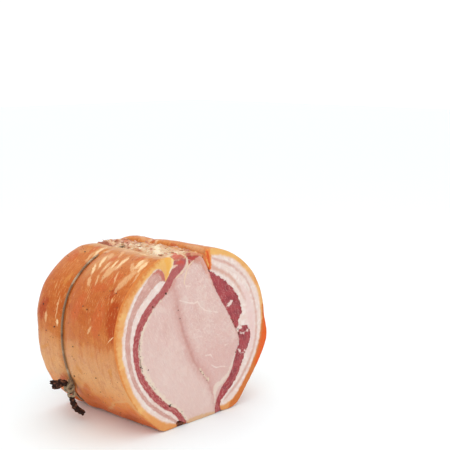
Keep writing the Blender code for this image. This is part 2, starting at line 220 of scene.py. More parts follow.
# Ground of the crust in the scene: where it starts behind the cut, its floor, its thickness and its mesh
BED_START = 0.5
BED_FLOOR = (
    (10.6, 176.8), (15, 177.2), (24, 177.7), (34, 178), (43.5, 177.8), (51.5, 175.4), (56.6, 170.6),
    (60, 165.6), (62.6, 160.6),
)
BED_DEEP = 1.6
BED_COLUMNS = 84
BED_RINGS = 210

# Red lobes of lean over the cut's top edge: their middle, half width and height, and how far back they go
FRONT_LOBES = ((20.5, 6.5, 1.9), (37.5, 5, 1.6), (47, 6, 0.7))
LOBE_REACH = 6.0

# Fat and juice set between the crust and the right lip: place across and height over the floor
LIP_FILL = ((50, 55, 58, 60.5, 62.6), (0, 3.2, 6.8, 10, 12))

# Cover of the crust over the twine: its height, its half width along the roll, the sides it reaches, and
# how far in from them it fades
COVER_HEIGHT = 3.0
COVER_HALF = 4.5
COVER_SIDES = (9.0, 60.0)
COVER_FADE = 5.0

# Bits strewn over the crust: the range across (mm), their tilt and bend, and the heading of long ones with
# its spread
BIT_SIDES = (12.0, 57.0)
BIT_TILT = 0.4
BIT_BEND = 0.3
BIT_HEADING = (pi / 2, 0.35)

# Burnt juice at the foot of the left lean: where it starts, its width, its start behind the cut and its
# length, its top at places across, and its mesh
JUICE_START = 15.7
JUICE_WIDTH = 13.8
JUICE_BACKS = (0.7, 138.0)
JUICE_TOP = ((15.7, 18.6, 29.5), (3.0, 3.6, 0.9))
JUICE_MESH = (12, 2, 40)

# Edges painted on the cut; what lies to the left of a line's direction takes the colour
RIND_EDGE_LEFT = (
    (15, 3.6), (12, 4.6), (2, 7.4), (-9, 14), (-22, 24), (-33, 35), (-43, 50), (-51.5, 70), (-56.8, 90),
    (-56.4, 110), (-51, 129.5), (-39.4, 149.2), (-28.8, 159), (-14, 169.6), (-10, 171), (-6, 168.4),
    (1.2, 155.4),
)
RIND_EDGE_RIGHT = (
    (64.6, 158.8), (66.2, 166), (67, 174), (80, 172.5), (90, 169.5), (100, 165.5), (110, 158.5),
    (120, 149.5), (130, 138.5), (138, 127), (142, 115), (144, 100), (145, 90), (144.5, 80), (143.5, 70),
    (138, 54), (131, 41.5), (120, 28), (108, 16), (98, 9), (86, 6), (82, 6.5),
)

# Strokes painted on the cut: rows of place across, height and half width
RIND_BROW = (
    (
        (-66.5, 96, 2.6), (-67, 116, 3.4), (-62, 132, 3.2), (-56, 146, 4.6), (-44, 158.5, 6.6),
        (-31, 169.5, 5.4), (-16, 177.5, 3.4), (-5, 181, 1.6),
    ),
    ((-66.5, 96, 2.6), (-63.5, 78, 2), (-55, 56, 1.4)),
)
JELLY = (((5, 177, 4.6), (6, 171, 3.6), (5.5, 165, 2), (3, 160.5, 0.6)),)
JELLY_HALO = (((9, 178, 4), (10.5, 172, 2.2), (7.5, 165.5, 1.6), (4, 160, 1)),)
EMBER = (((151, 98, 2), (153.5, 84, 5), (153.5, 70, 7.4), (147.5, 55, 6.4), (139, 42, 4)),)
EMBER_HALO = (
    (
        (149.5, 106, 3), (152, 92, 5), (152, 70, 8.6), (144, 50, 7.6), (130, 31, 6.4), (112, 12, 5.6),
        (98, 2, 4.6),
    ),
)
RIGHT_LIP = (((61, 178, 1.4), (62, 173, 2.2), (64, 166, 1.2), (64.4, 160, 0.8)),)
RIGHT_LIP_HALO = (((61.5, 179, 3.4), (62.5, 173, 4.2), (64.6, 166, 2.4), (64.8, 160, 1.2)),)
RED_TOP = (
    ((33.5, 176, 1.6), (37.5, 175, 3.2), (42, 175.2, 2.2), (47, 175.4, 1.2)),
    ((34.5, 172.6, 1.8), (35.5, 169, 1)),
)
DOME_TOP = (((36.5, 172, 1.8), (42, 173.4, 3), (49, 171.6, 3), (54, 166, 1.8), (58, 158, 0.8)),)
DOME_RIM = (
    (
        (42, 175.5, 2.6), (50, 173.5, 3.2), (57, 166.5, 3.4), (61.5, 158.5, 3.2), (65.5, 150.5, 2),
        (70, 141, 1),
    ),
)
RED_LOBE = (((17.5, 172.6, 1.6), (22, 173.2, 2.6), (27, 172.6, 2)),)
LEAN_CROWN = (((10, 177.6, 1.6), (16, 177.8, 2.2), (23, 178.6, 2.4), (30, 178.8, 2.2)),)
LIP_FAT = (((13, 174, 1), (12.5, 170.5, 1.4), (9, 167.5, 0.9), (7, 164.5, 0.5)),)
STREAK_TIP = (
    ((-14, 167.4, 1.2), (-8, 168.4, 2), (-3.6, 165.6, 3.2), (-1.2, 160.6, 2.8), (0.5, 157, 1.4)),
)
RED_LOBE_FAT = (((12, 169.6, 1.6), (15.5, 170.2, 1), (19, 170.6, 0.3)),)
HERB_BAND = (
    (
        (-2.8, 140.4, 0.7), (-14.8, 132.6, 0.9), (-23.8, 120.4, 1), (-31.4, 107.4, 1.5), (-34, 91, 2),
        (-29.4, 73, 2.2), (-23, 59, 2.7), (-14, 46.5, 2.9), (-3, 34.4, 2.4), (9.6, 24, 2.1),
        (20.4, 15.5, 1.8), (29, 5, 1.4),
    ),
)
HERB_LINE = (
    (
        (-33, 112, 0.8), (-33.6, 104, 0.4), (-34.2, 96, 0.8), (-34.2, 88, 0.4), (-32.6, 77, 0.8),
        (-30.4, 70, 0.3),
    ),
    ((-16.5, 133.5, 1.2), (-13.2, 132.4, 0.7)), ((-24.4, 123, 0.4), (-20.4, 126.6, 0.4)),
    ((0.5, 143.8, 0.6), (3, 144.8, 0.4)), ((4.5, 25.2, 1), (7, 24.2, 0.9)),
    ((-21, 56, 0.3), (-14, 47, 0.4)),
)
MEMBRANE = (
    (
        (30, 178.5, 1.3), (31.6, 174.5, 0.9), (32.4, 170, 0.9), (30, 166.6, 0.9), (24, 162, 0.7),
        (16, 157.4, 0.5),
    ),
    (
        (41, 172, 0.4), (35.5, 168.6, 0.7), (32, 164, 0.8), (29.4, 158, 0.8), (27.4, 151, 0.5),
        (29, 147, 0.3),
    ),
)
JOINT_LINE = (
    (
        (17.5, 128, 0.4), (20.5, 118, 0.9), (24, 104, 1.1), (30, 88, 1.2), (38.5, 69, 1.2), (44, 60, 0.6),
        (50, 52, 0.2), (61, 38, 0.2), (68, 22, 0.2),
    ),
)
UPPER_RIM = (
    (
        (28, 164, 0.8), (18, 158, 1.6), (10.5, 151, 2), (2, 144, 2.2), (-8, 138, 2), (-18, 130, 1.4),
        (-26, 120, 0.6),
    ),
)
LOIN_VEINS = (
    ((28.8, 147.4, 0.5), (37, 145.6, 0.3)),
    (
        (20.5, 133.5, 0.5), (34.4, 128.6, 0.6), (42, 126.8, 0.7), (46.6, 127.9, 0.6), (49.8, 123, 0.6),
        (56.4, 117, 0.6), (65.7, 113.9, 0.5), (76.6, 110.9, 0.2),
    ),
    ((57.5, 67.6, 0.3), (65.5, 66.7, 0.6), (68.2, 62.7, 0.3)),
    ((66.8, 55.2, 0.4), (73.5, 50.7, 0.6), (81.9, 50.3, 0.5), (91.7, 47.6, 0.3)),
    ((87.4, 72.4, 0.4), (93.1, 73.2, 0.3)),
)
LOIN_POCKET = (
    (
        (71.5, 13, 0.8), (71.5, 24, 2.2), (74, 29.5, 3.6), (82, 33, 2.6), (91, 38, 1.8), (98, 48, 1.2),
        (103.5, 60, 0.6),
    ),
)
JOINT_HERBS = (((48.5, 54, 0.8), (52, 50, 1.7), (57, 44, 1.4), (61, 39.5, 1.2)),)
LEAN_NOTCH = (
    ((90.5, 114.5, 1.6), (94.5, 116.5, 2.2), (98.5, 118.5, 0.8)),
    ((113, 99, 2), (112, 94, 2.6), (112.6, 89.5, 2.8), (109, 86, 2.6), (106, 83, 1.6)),
    ((109, 83.5, 1.6), (112, 82, 0.9), (117, 80, 0.3), (124, 82, 0.2)),
    ((108.5, 63, 0.6), (114, 58.5, 0.7), (119, 60, 0.5)), ((107, 78, 1.8), (108, 70, 1.5)),
)
FAT_BLUSH = (((112, 136, 2), (124, 118, 5), (129, 95, 6.5), (130, 70, 5), (124, 52, 2)),)
STREAK_THIN = (
    (
        (68, 171, 0.8), (80, 166, 1.3), (90, 162.5, 1.4), (100, 157, 1.3), (110, 150, 1.1),
        (120, 141, 0.9), (127, 130, 1), (134, 113, 1), (137, 97, 1.2), (137.5, 80, 1.3), (136.5, 70, 1.4),
        (133, 60, 1.5), (128, 50, 1.6), (122, 41, 1.7), (110, 28, 1.7), (98, 19, 1.5), (86, 11.5, 0.8),
    ),
)
STREAK_BROAD = (
    ((66, 162, 2.4), (80, 155.5, 2.2), (94, 148, 2), (105, 138, 1.8), (114, 126, 1.2), (120, 116, 0.4)),
)
RIGHT_HERBS = (
    ((97, 100, 1.2), (102, 93, 1.4), (107, 83.5, 2.2), (108.5, 78, 1), (108.5, 70, 1), (104.5, 60, 1.2)),
)
# Painted shadow: a near-black line at the foot of the cut, in the gap under the left lean
GAP_SHADOW = (((13, 0.8, 1.2), (20, 0.8, 1.8), (29, 0.6, 1)),)

# Browned crust under the loin: its middle, half width and height
LOIN_FOOT = (46.0, 34.0, 4.5)

# Tones of the skin from the seam down to the table: place along it (mm) and colour
LEFT_SKIN_TONES = (
    (4, "#D2A672"), (13, "#CC915C"), (20, "#C77636"), (48, "#C47036"), (76, "#BC6125"), (98, "#B75B20"),
    (116, "#BC6529"), (127, "#BF6C30"), (137, "#CA8650"), (153, "#D09462"), (174, "#D99E68"),
    (191, "#DC975C"), (203, "#DA8440"), (216, "#DA762E"), (234, "#D46824"),
)
RIGHT_SKIN_TONES = (
    (8, "#CC6C34"), (20, "#D0813F"), (34, "#CB7838"), (66, "#C06A2C"), (104, "#B96024"), (140, "#BF6C30"),
    (160, "#CC8A54"), (196, "#D69A68"), (220, "#CE7C44"), (250, "#BF5E2C"),
)

# Marks on the skin: colour and strength, then the place along it from the seam and behind the cut at both
# ends and the half width of each mark, in mm
LEFT_SKIN_MARKS = (
    ("#CB8A50", 0.6, (
        (30, 62, 56, 74, 9), (17, 36, 19, 80, 3.5), (20, 100, 34, 120, 5), (136, 66, 150, 72, 6),
    )),
    ("#C45E2A", 0.75, (
        (17, 19, 22, 20, 3.5), (31, 53, 36, 53, 4), (52, 22, 60, 30, 5), (14, 106, 28, 104, 3),
        (92, 28, 112, 30, 8), (68, 34, 72, 48, 5), (86, 60, 104, 66, 7), (36, 122, 44, 116, 6),
    )),
    ("#A83E04", 0.9, (
        (84, 10, 112, 5, 8), (64, 14, 76, 20, 4), (100, 122, 112, 126, 7), (191, 113, 204, 124, 4.5),
    )),
    ("#D9A066", 0.7, (
        (187, 3, 200, 35, 1.7), (200, 35, 214, 50, 1.9), (214, 50, 229, 69, 2.2), (176, 2, 206, 3, 5),
    )),
    ("#CE6428", 0.6, ((208, 14, 224, 30, 6), (226, 76, 238, 84, 7))),
    ("#CC6026", 0.6, (
        (188, 72, 203, 82, 5), (206, 66, 214, 88, 5), (186, 108, 196, 116, 5), (200, 92, 212, 98, 4),
    )),
    ("#B04A14", 0.6, ((227, 26, 238, 46, 6), (228, 50, 237, 58, 1.4))),
    ("#CC843E", 0.7, (
        (160, 71, 168, 69, 3.6), (150, 13, 158, 16, 3), (147, 120, 156, 136, 2.4),
        (64, 101, 74, 102, 2.4),
    )),
    # Pale tan tears and patches; the thin streak 90 to 113 mm along, 101 mm back, is a painted highlight
    ("#DDA876", 0.85, (
        (44, 8, 67, 15.6, 3.8), (32, 18.6, 44, 10, 2.2), (41, 36, 55, 42, 3.6), (44, 44.6, 60, 44, 3),
        (39, 51, 51, 53, 2.6), (26, 66, 32, 61, 3.2), (22, 12, 36, 8, 3), (24, 37, 40, 33, 3),
        (33, 69, 46, 63, 3), (50, 27, 60, 24, 1.6), (58, 54, 68, 50, 1.4), (16, 56, 26, 50, 1.8),
        (22, 77, 23, 86, 2.4), (63, 64.5, 70, 60, 2.4), (28, 100, 42, 97, 1.5),
        (90, 101.2, 113, 101, 0.8), (110, 117, 119, 117.6, 1.7), (111, 37, 117, 40.5, 1.5),
        (78.5, 15.4, 81, 15.2, 1.2), (44, 3, 55, 2, 1.3), (8, 44, 12, 60, 2.6),
    )),
    # Palest cream tears; the mark 115 to 120 mm along, 100 mm back, is a painted highlight beside the twine
    ("#EECA9A", 0.95, (
        (24, 13.4, 37, 10.6, 2), (25, 7.2, 42, 5, 1.7), (25.5, 35.4, 41, 34.4, 2.3),
        (34, 43.8, 43, 43, 2), (33, 67.4, 46, 63, 2.3), (47, 71, 57, 65.6, 2.1),
        (14, 97.4, 31, 95.6, 2.6), (115.5, 100, 119.5, 100, 1.3), (40, 52, 49, 53.2, 0.7),
        (8.5, 24, 10, 32, 1.4), (121.4, 10.2, 114, 2, 0.5),
    )),
)
RIGHT_SKIN_MARKS = (
    ("#D79C6A", 0.8, (
        (20, 4, 25, 30, 4), (26, 100, 34, 116, 3), (57, 62, 76, 57, 3.6), (70, 52, 96, 47, 4.4),
        (86, 60, 99, 57, 2.4), (150, 70, 163, 82, 4), (160, 92, 178, 98, 4.4),
    )),
    ("#BC5527", 0.8, (
        (20, 46, 23, 54, 2.6), (22, 81, 27, 87, 2.4), (30, 92, 42, 98, 2.4), (112, 6, 180, 10, 10),
        (76, 116, 104, 124, 11), (182, 88, 218, 84, 12),
    )),
    ("#D9A470", 0.8, (
        (112, 40, 132, 42, 1.6), (142, 62, 158, 64, 1.6), (196, 30, 214, 30, 1.4),
        (40, 120, 60, 116, 1.4), (52, 36, 70, 30, 2), (60, 24, 74, 22, 1.4),
    )),
    ("#E3B588", 0.9, ((20, 76.5, 25, 78, 2), (24, 88, 34, 96, 1.8), (30, 12, 44, 16, 1.2))),
)

# Marks on the crust: colour and strength, then place across and behind the cut at both ends and half width
CRUST_MARKS = (
    ("#D9B78C", 0.8, ((10, 6, 12, 100, 2.2),)),
    ("#BE7A40", 0.8, ((14.5, 42, 17, 66, 2), (12, 17, 14, 27, 1.4), (26, 56, 34, 62, 2.4))),
    ("#C4673A", 0.85, ((40, 64, 50, 86, 2.6), (48, 14, 54, 26, 2.6), (30, 100, 42, 108, 4))),
    ("#93451F", 0.9, ((15, 106, 18, 126, 2.8), (18, 124, 30, 138, 2.4), (46, 8, 53, 20, 1.5))),
    ("#E2BE94", 0.85, ((22, 108, 30, 122, 3), (40, 116, 48, 134, 3.2), (30, 128, 36, 138, 2.2))),
    ("#A8552C", 0.85, ((32, 112, 38, 124, 2.2), (50, 104, 53, 122, 1.8), (22, 126, 27, 136, 1.6))),
    ("#EBDCBC", 0.95, ((18.5, 22, 24, 37, 3), (28, 38, 33, 47, 3.4), (20, 55, 24, 64, 2.2))),
    ("#C55F4C", 0.9, ((15, 1, 27, 3, 4.4), (26, 9, 31, 14, 3))),
    ("#AC4A3A", 0.9, ((33, 0.5, 38, 3, 2.6),)),
    ("#CC7D5E", 0.85, ((41, 0.5, 50, 2, 3),)),
    ("#E0C3A0", 0.9, ((29.5, 0, 31.5, 6, 1.2), (27, 6, 31, 12, 0.9))),
    ("#D06A2E", 0.95, ((58, 0.5, 63, 1, 4), (57, 6, 62, 30, 3.4))),
    ("#C47A3E", 0.85, ((57, 34, 59, 140, 4), (55, 8, 57, 34, 3))),
    ("#8E3E18", 0.9, (
        (54.5, 0.5, 55.5, 5, 1.2), (50, 18, 56, 34, 1.4), (55, 44, 57, 58, 1.2), (50, 60, 56, 72, 1.4),
        (54, 100, 57, 118, 1.6),
    )),
    ("#E4AE6A", 0.9, ((52, 6, 57, 14, 1.4), (53, 34, 57, 46, 1.4), (51, 76, 56, 88, 1.6))),
)

# How far each skin closes over the twine: along it from the seam, how high, over what length it fades, and
# the cover's half width along the roll (mm)
RIGHT_BURIED = 46.0
LEFT_BURIED = 34.0
BURIED_COVER = 2.4
BURIED_FADE = 8.0
BURIED_HALF = 4.0

# Relief of the skin: sizes of its waves (mm) and their shares of its depth, the swell beside the twine with
# its distance, half width and height, and where the relief sets in beside the twine and behind the cut
SKIN_WAVES = (38.0, 13.0, 4.5)
SKIN_SHARES = (1.0, 0.6, 0.25)
SWELL_PLACE = 6.0
SWELL_HALF = 3.0
SWELL_HEIGHT = 0.5
TWINE_CALM = (1.5, 7.0)
CUT_CALM = (0.0, 8.0)

# How deep the twine lies there, and where this sets in from the left, from the right and from below
BURIED_DIP = 1.8
BURIED_LEFT = (-16.0, -2.0)
BURIED_RIGHT = (96.0, 84.0)
BURIED_HEIGHTS = (140.0, 155.0)

# Peppercorn bits on the skin (along, behind the cut, radius) and on the cut (across, height, radius)
SKIN_PEPPER = (
    (138, 71, 0.7), (115.6, 23.1, 0.6), (135.9, 107.8, 0.6), (167.9, 43.5, 0.7), (192.9, 43.5, 0.5),
    (188.6, 48.6, 0.5), (223.8, 44.4, 0.6), (182.4, 130.3, 0.5), (167, 58.7, 0.5), (150, 76, 0.5),
    (152.8, 73.8, 0.5), (42.7, 126.8, 0.9), (31.2, 110.4, 0.7), (102, 124.6, 0.8), (94.7, 47, 1),
    (92.7, 55, 0.8), (123.3, 103.9, 1), (97.2, 80.3, 0.5), (73, 52.3, 0.5), (71, 24.3, 0.5),
    (69.7, 20.6, 0.5), (71.9, 14.5, 0.5), (41.3, 27.1, 0.6), (25.7, 26.3, 0.5), (85.3, 5.4, 0.5),
    (178, 86, 1), (130, 118, 0.6), (26, 80, 0.6),
)
FACE_PEPPER = (
    (1.9, 144, 0.8), (18.8, 123.7, 0.7), (21, 114.6, 0.6), (98.4, 98.8, 0.8), (108.7, 81.7, 0.7),
    (104.3, 61.2, 0.7), (50.9, 51.5, 0.7), (59.8, 40.1, 0.9), (5.9, 25.2, 1), (-22.9, 70.1, 0.6),
    (-16, 133.5, 0.7), (-33, 112, 0.6), (-33, 75, 0.6), (-34.5, 97.5, 0.5), (109, 86, 0.6),
)

# Further bits of pepper: number, range along the skin and behind the cut, their radii and those of the
# bits in the herbs, and how deep the bits on the cut sit
PEPPER_COUNT = 90
PEPPER_RUNS = (15.0, 225.0)
PEPPER_BACKS = (4.0, 142.0)
PEPPER_RADII = (0.2, 0.42)
HERB_RADII = (0.2, 0.5)
PEPPER_DEPTH = 0.15

# Tones of the layers' cuts: what a cloud follows, colour, size (mm), start, full and strength
FAT_TONES = (
    ("fibres", "#D2B3A8", 1, 0.5, 0.7, 0.5),
    ("even", "#E8DAD3", 6, 0.46, 0.66, 0.7),
    ("even", "#D6B0A2", 9, 0.54, 0.7, 0.4),
)
STREAK_TONES = (
    ("fibres", "#B88075", 1, 0.48, 0.68, 0.6),
    ("even", "#D2AA9E", 6, 0.46, 0.7, 0.6),
    ("fibres", "#DDBFB4", 0.6, 0.54, 0.7, 0.6),
)
LEFT_LEAN_TONES = (
    ("fibres", "#B9706A", 1, 0.46, 0.64, 0.7),
    ("even", "#8C3A40", 7, 0.54, 0.7, 0.5),
    ("even", "#B6645F", 4, 0.5, 0.7, 0.6),
    ("fibres", "#CC8C84", 0.6, 0.58, 0.7, 0.5),
)
LEAN_TONES = (
    ("fibres", "#A23E43", 1, 0.5, 0.68, 0.6),
    ("even", "#822831", 9, 0.46, 0.62, 0.75),
    ("even", "#A84C50", 4, 0.58, 0.74, 0.5),
    ("fibres", "#B76A66", 0.6, 0.62, 0.74, 0.4),
)
LOIN_TONES = (
    ("even", "#C99F96", 22, 0.48, 0.7, 0.5),
    ("even", "#DCC6BC", 14, 0.5, 0.72, 0.5),
    ("fibres", "#DEC7BC", 1, 0.48, 0.72, 0.6),
    ("fibres", "#C59389", 0.8, 0.52, 0.72, 0.4),
    ("even", "#E4D0C5", 1.8, 0.6, 0.74, 0.5),
    ("even", "#C18D83", 1.5, 0.6, 0.76, 0.35),
)
CRUST_TONES = (
    ("strands", "#C78F6A", 1, 0.5, 0.66, 0.7), ("even", "#C98E74", 8, 0.52, 0.66, 0.6),
    ("even", "#E4CDAA", 5, 0.52, 0.66, 0.8), ("strands", "#B4764E", 0.8, 0.6, 0.7, 0.6),
    ("even", "#948550", 1.7, 0.63, 0.69, 0.6), ("even", "#8A5230", 1.5, 0.65, 0.72, 0.6),
)

# Stage: the floor's half width and drop, the lights' aim, and each light's setting, place and width (m)
FLOOR_HALF = 6.0
FLOOR_DROP = 0.0005
LIGHT_AIM = Vector((0.0, 0.0, 0.08))
LIGHTS = (
    ("key", (-0.9, -0.7, 1.0), 0.9), ("fill", (0.8, -1.1, 0.8), 0.9), ("top", (0.1, 0.2, 1.4), 1.2),
)
CAMERA_PLACE = (-0.7086, -0.7917, 0.3758)
CAMERA_TURN = (radians(80.575), 0.0, radians(-46.3))
CAMERA_LENS = 80.0

# Material slots of a layer's mesh
CUT, SKIN = 0, 1


def linear(code):
    """A colour's sRGB hex code as linear red, green, blue and alpha."""
    parts = [int(code[place:place + 2], 16) / 255 for place in (1, 3, 5)]
    return (*[part / 12.92 if part <= 0.04045 else ((part + 0.055) / 1.055) ** 2.4 for part in parts], 1.0)


def colour_setting(name, description, code):
    return FloatVectorProperty(
        name=name, description=description, default=linear(code), subtype="COLOR", size=4, min=0.0, max=1.0)


def length_setting(name, description, default, least, most):
    return FloatProperty(name=name, description=description, default=default, min=least, max=most,
                         unit="LENGTH", subtype="DISTANCE")


def power_setting(name, description, default):
    return FloatProperty(
        name=name, description=description, default=default, min=0.0, max=200.0, unit="POWER")


def count_setting(name, description, default):
    return IntProperty(name=name, description=description, default=default, min=0, max=2000)


class RollSizes(bpy.types.PropertyGroup):
    skin_step: length_setting("Skin step", "Distance between rings of the skin's mesh", 0.002, 0.001, 0.01)
    face_step: length_setting("Face step", "Distance between rows of the loin's mesh", 0.001, 0.0005, 0.01)
    skin_relief: length_setting("Skin relief", "Depth of the skin's dents and wrinkles", 0.0008, 0.0, 0.003)
    strand_radius: length_setting("Strand radius", "Radius of a strand of twine", 0.00055, 0.0002, 0.002)
    twist_length: length_setting("Twist length", "Length of one turn of the strands", 0.009, 0.003, 0.05)
    herb_flakes: count_setting("Herb flakes", "Number of herb flakes in the crust", 130)
    crust_crumbs: count_setting("Crust crumbs", "Number of crumbs of fat and meat in the crust", 90)


class RollColours(bpy.types.PropertyGroup):
    rind: colour_setting("Rind", "Cut edge of the rind", "#DB9E60")
    rind_outer: colour_setting("Outer rind", "Outer rim of the rind's cut edge", "#CE8440")
    jelly: colour_setting("Jelly", "Set juice in the seam's lip", "#E2A549")
    fat: colour_setting("Fat", "Cooked fat", "#DEC9C0")
    streak: colour_setting("Streak", "Pale lean in the belly", "#C4958A")
    red_lean: colour_setting("Red lean", "Cured dark lean", "#9C363C")
    loin: colour_setting("Loin", "Cooked loin", "#D2B0A8")
    crust: colour_setting("Crust", "Fatty ground of the herb crust", "#D4AF8A")
    twine: colour_setting("Twine", "Cotton twine, browned by the oven", "#8A7054")
    char: colour_setting("Char", "Charred ends of the twine", "#26110A")


class StageSettings(bpy.types.PropertyGroup):
    key: power_setting("Key light", "Power of the large soft light at the front left", 2.6)
    fill: power_setting("Fill light", "Power of the soft light at the front right", 1.0)
    top: power_setting("Top light", "Power of the soft light overhead", 1.6)
    surround: FloatProperty(
        name="Surround", description="Brightness of the white room around", default=1.08, min=0.0, max=5.0)
    floor: colour_setting("Floor", "Plain pale floor", "#F3FAFC")


def share_of(value, low, high):
    """How far a value, or an array of them, has come from low to high, kept from 0 to 1."""
    return np.clip((value - low) / (high - low), 0.0, 1.0)


def smooth_line(points, steps):
    """A smooth line through points, as an array of steps + 1 samples. Handles are a third of a span."""
    knots = [Vector(point) for point in points]
    last = len(knots) - 1
    aims = [(knots[min(i + 1, last)] - knots[max(i - 1, 0)]).normalized() for i in range(last + 1)]
    samples = []
    for step in range(steps + 1):
        place = step * last / steps
        span = min(int(place), last - 1)
        t = place - span
        a, b = knots[span], knots[span + 1]
        reach = (b - a).length / 3
        first, second = a + aims[span] * reach, b - aims[span + 1] * reach
        u = 1 - t
        samples.append(a * u ** 3 + first * 3 * u * u * t + second * 3 * u * t * t + b * t ** 3)
    return np.array(samples)


def roll_lines():
    """The section's smooth lines, as fine as the pieces need them."""
    lines = {name: smooth_line(points, TOP_STEPS * FINENESS) for name, points in SEAM_LINES.items()}
    for name, points in SIDE_LINES.items():
        lines[name] = smooth_line(points, SIDE_STEPS * FINENESS)
    return lines


def line_of(lines, names):
    """One of the section's lines, or two that follow each other, given by name."""
    first = lines[names[0]]
    return first if len(names) == 1 else np.vstack((first, lines[names[1]][1:]))


def runs_of(points):
    """How far along a path each of its points lies."""
    steps = np.linalg.norm(np.diff(points, axis=0), axis=1)
    return np.concatenate(((0.0,), np.cumsum(steps)))


def station_values(backs):
    """Width, height, lean, sink and spread at distances behind the cut, eased from station to station."""
    table = np.array(STATIONS)
    places, values = table[:, 0], table[:, 1:]
    slopes = np.diff(values, axis=0) / np.diff(places)[:, None]
    product, total = slopes[1:] * slopes[:-1], slopes[1:] + slopes[:-1]
    inner = np.where(product > 0, 2 * product / (total + 1e-12), 0)
    tangents = np.vstack((slopes[:1], inner, slopes[-1:]))
    span = np.clip(np.searchsorted(places, backs, "right") - 1, 0, len(places) - 2)
    reach = (places[span + 1] - places[span])[:, None]
    t = ((backs - places[span]) / reach[:, 0])[:, None]
    return (values[span] * (1 + 2 * t) * (1 - t) ** 2 + tangents[span] * reach * t * (1 - t) ** 2
            + values[span + 1] * t * t * (3 - 2 * t) + tangents[span + 1] * reach * t * t * (t - 1))


def twine_backs(x, z):
    """Where the twine lies behind the cut, at places of the drawing."""
    sway = np.interp(z, SWAY_HEIGHTS, SWAY)
    return TWINE_PLACE + np.where(sway > 0, sway * (1 - share_of(x, *SWAY_SIDES)), sway)


def placed(points, backs):
    """Carries points of the drawing (mm) back from the cut, into the roll's own frame (m)."""
    x, z = points[:, 0], points[:, 1]
    middle = twine_backs(x, z)
    behind = TWINE_PLACE + (backs - middle) * (LENGTH - TWINE_PLACE) / (LENGTH - middle)
    followed = np.where(backs < middle, backs * TWINE_PLACE / middle, behind)
    wide, high, lean, sink, spread = station_values(followed).T
    x = (x + lean * share_of(z, *LEAN_HEIGHTS) * (1 - share_of(x, *LEAN_SIDES))
         - spread * (1 - share_of(z, *SPREAD_HEIGHTS)) * (1 - share_of(x, *SPREAD_SIDES)))
    up = MIDDLE_HEIGHT + (z - MIDDLE_HEIGHT) * high - sink * (1 - share_of(z, 0.0, SINK_HEIGHT))
    across = (x - DRAWING_MIDDLE) * wide
    return np.column_stack((across, backs - LENGTH / 2, np.maximum(up, 0.0))) * MM


def spot(x, z, back):
    """One place of the drawing (mm) in the roll's own frame (m)."""
    return Vector(placed(np.array([[x, z]]), np.array([back]))[0])


def nearest(points, line):
    """For each point: distance to a line, signed distance (negative at its left) and run along it."""
    best = np.full(len(points), np.inf)
    signed, run = np.zeros(len(points)), np.zeros(len(points))
    start = 0.0
    for a, b in zip(line[:-1], line[1:]):
        step = b[:2] - a[:2]
        length = np.hypot(*step)
        if length < 1e-9:
            continue
        away = points - a[:2]
        t = np.clip(away @ step / length ** 2, 0.0, 1.0)
        gap = np.hypot(*(away - t[:, None] * step).T)
        side = np.sign(step[0] * away[:, 1] - step[1] * away[:, 0])
        closer = gap < best
        best = np.where(closer, gap, best)
        signed = np.where(closer, -side * gap, signed)
        run = np.where(closer, start + t * length, run)
        start += length
    return best, signed, run


# Readers: each makes a field of distances in mm at points of the cut, from a mark's shape


def near_field(points, line):
    return nearest(points, line)[0]


def edge_field(points, line):
    """Distance from a line, negative at its left."""
    return nearest(points, np.array(line))[1]


def short_edge_field(points, line):
    """As an edge's field, but beyond 4 mm from the line nothing is taken as on its left."""
    gap, signed, _ = nearest(points, line)
    return np.where(gap < 4.0, signed, gap)


def core_field(points, line):
    """As an edge's field, 0.4 mm further in."""
    return edge_field(points, line) + 0.4


def rim_field(points, line):
    """Distance from a line beyond a rim that widens towards the foot."""
    return nearest(points, line)[0] - 1.0 - 1.6 * share_of(points[:, 1], 60.0, 25.0)


def broad_field(points, line):
    """Distance from a line beyond 5 mm, which narrows to nothing at the foot."""
    return nearest(points, line)[0] - 5.0 * share_of(points[:, 1], 12.0, 50.0)


def foot_field(points, foot):
    """Height above the browned crust under the loin, which is thickest in its middle."""
    middle, half, height = foot
    swell = 1 - ((points[:, 0] - middle) / half) ** 2
    return points[:, 1] - height * np.maximum(swell, 0.2)


def stroke_field(points, strokes):
    """Distance outside the nearest of several strokes, negative inside them."""
    field = np.full(len(points), 99.0)
    for stroke in strokes:
        for a, b in zip(stroke[:-1], stroke[1:]):
            a, b = np.array(a), np.array(b)
            step = b[:2] - a[:2]
            away = points - a[:2]
            t = np.clip(away @ step / (step @ step), 0.0, 1.0)
            gap = np.hypot(*(away - t[:, None] * step).T)
            field = np.minimum(field, gap - (a[2] + t * (b[2] - a[2])))
    return field


def waves(points, sizes, depths, seed):
    """Smooth random relief (mm) at points, from waves of several sizes with their depths."""
    total = np.zeros(len(points))
    for size, depth in zip(sizes, depths):
        shift = Vector((seed, size, seed * 0.7))
        total += [depth * noise.noise(Vector(point) / size + shift) for point in points.tolist()]
    return total


def new_piece(name, mesh, slot_name, *nodes):
    """Links a mesh as a piece that rides on the roll and stands for nodes, which it hides; the slot's name is
    not used.
    """
    piece = bpy.data.objects.new(name, mesh)
    bpy.context.scene.collection.objects.link(piece)
    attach(piece, "root")
    if nodes:
        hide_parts(*nodes)
    return piece


def mesh_of(bm, name):
    """A bmesh as a smooth mesh; the bmesh is freed."""
    mesh = bpy.data.meshes.new(name)
    bm.to_mesh(mesh)
    bm.free()
    mesh.shade_smooth()
    return mesh


def turned_out(mesh, weld=0.0):
    """Turns a mesh's faces out; vertices nearer than the weld are joined first."""
    bm = bmesh.new()
    bm.from_mesh(mesh)
    if weld:
        bmesh.ops.remove_doubles(bm, verts=bm.verts, dist=weld)
    bmesh.ops.recalc_face_normals(bm, faces=bm.faces)
    bm.to_mesh(mesh)
    bm.free()


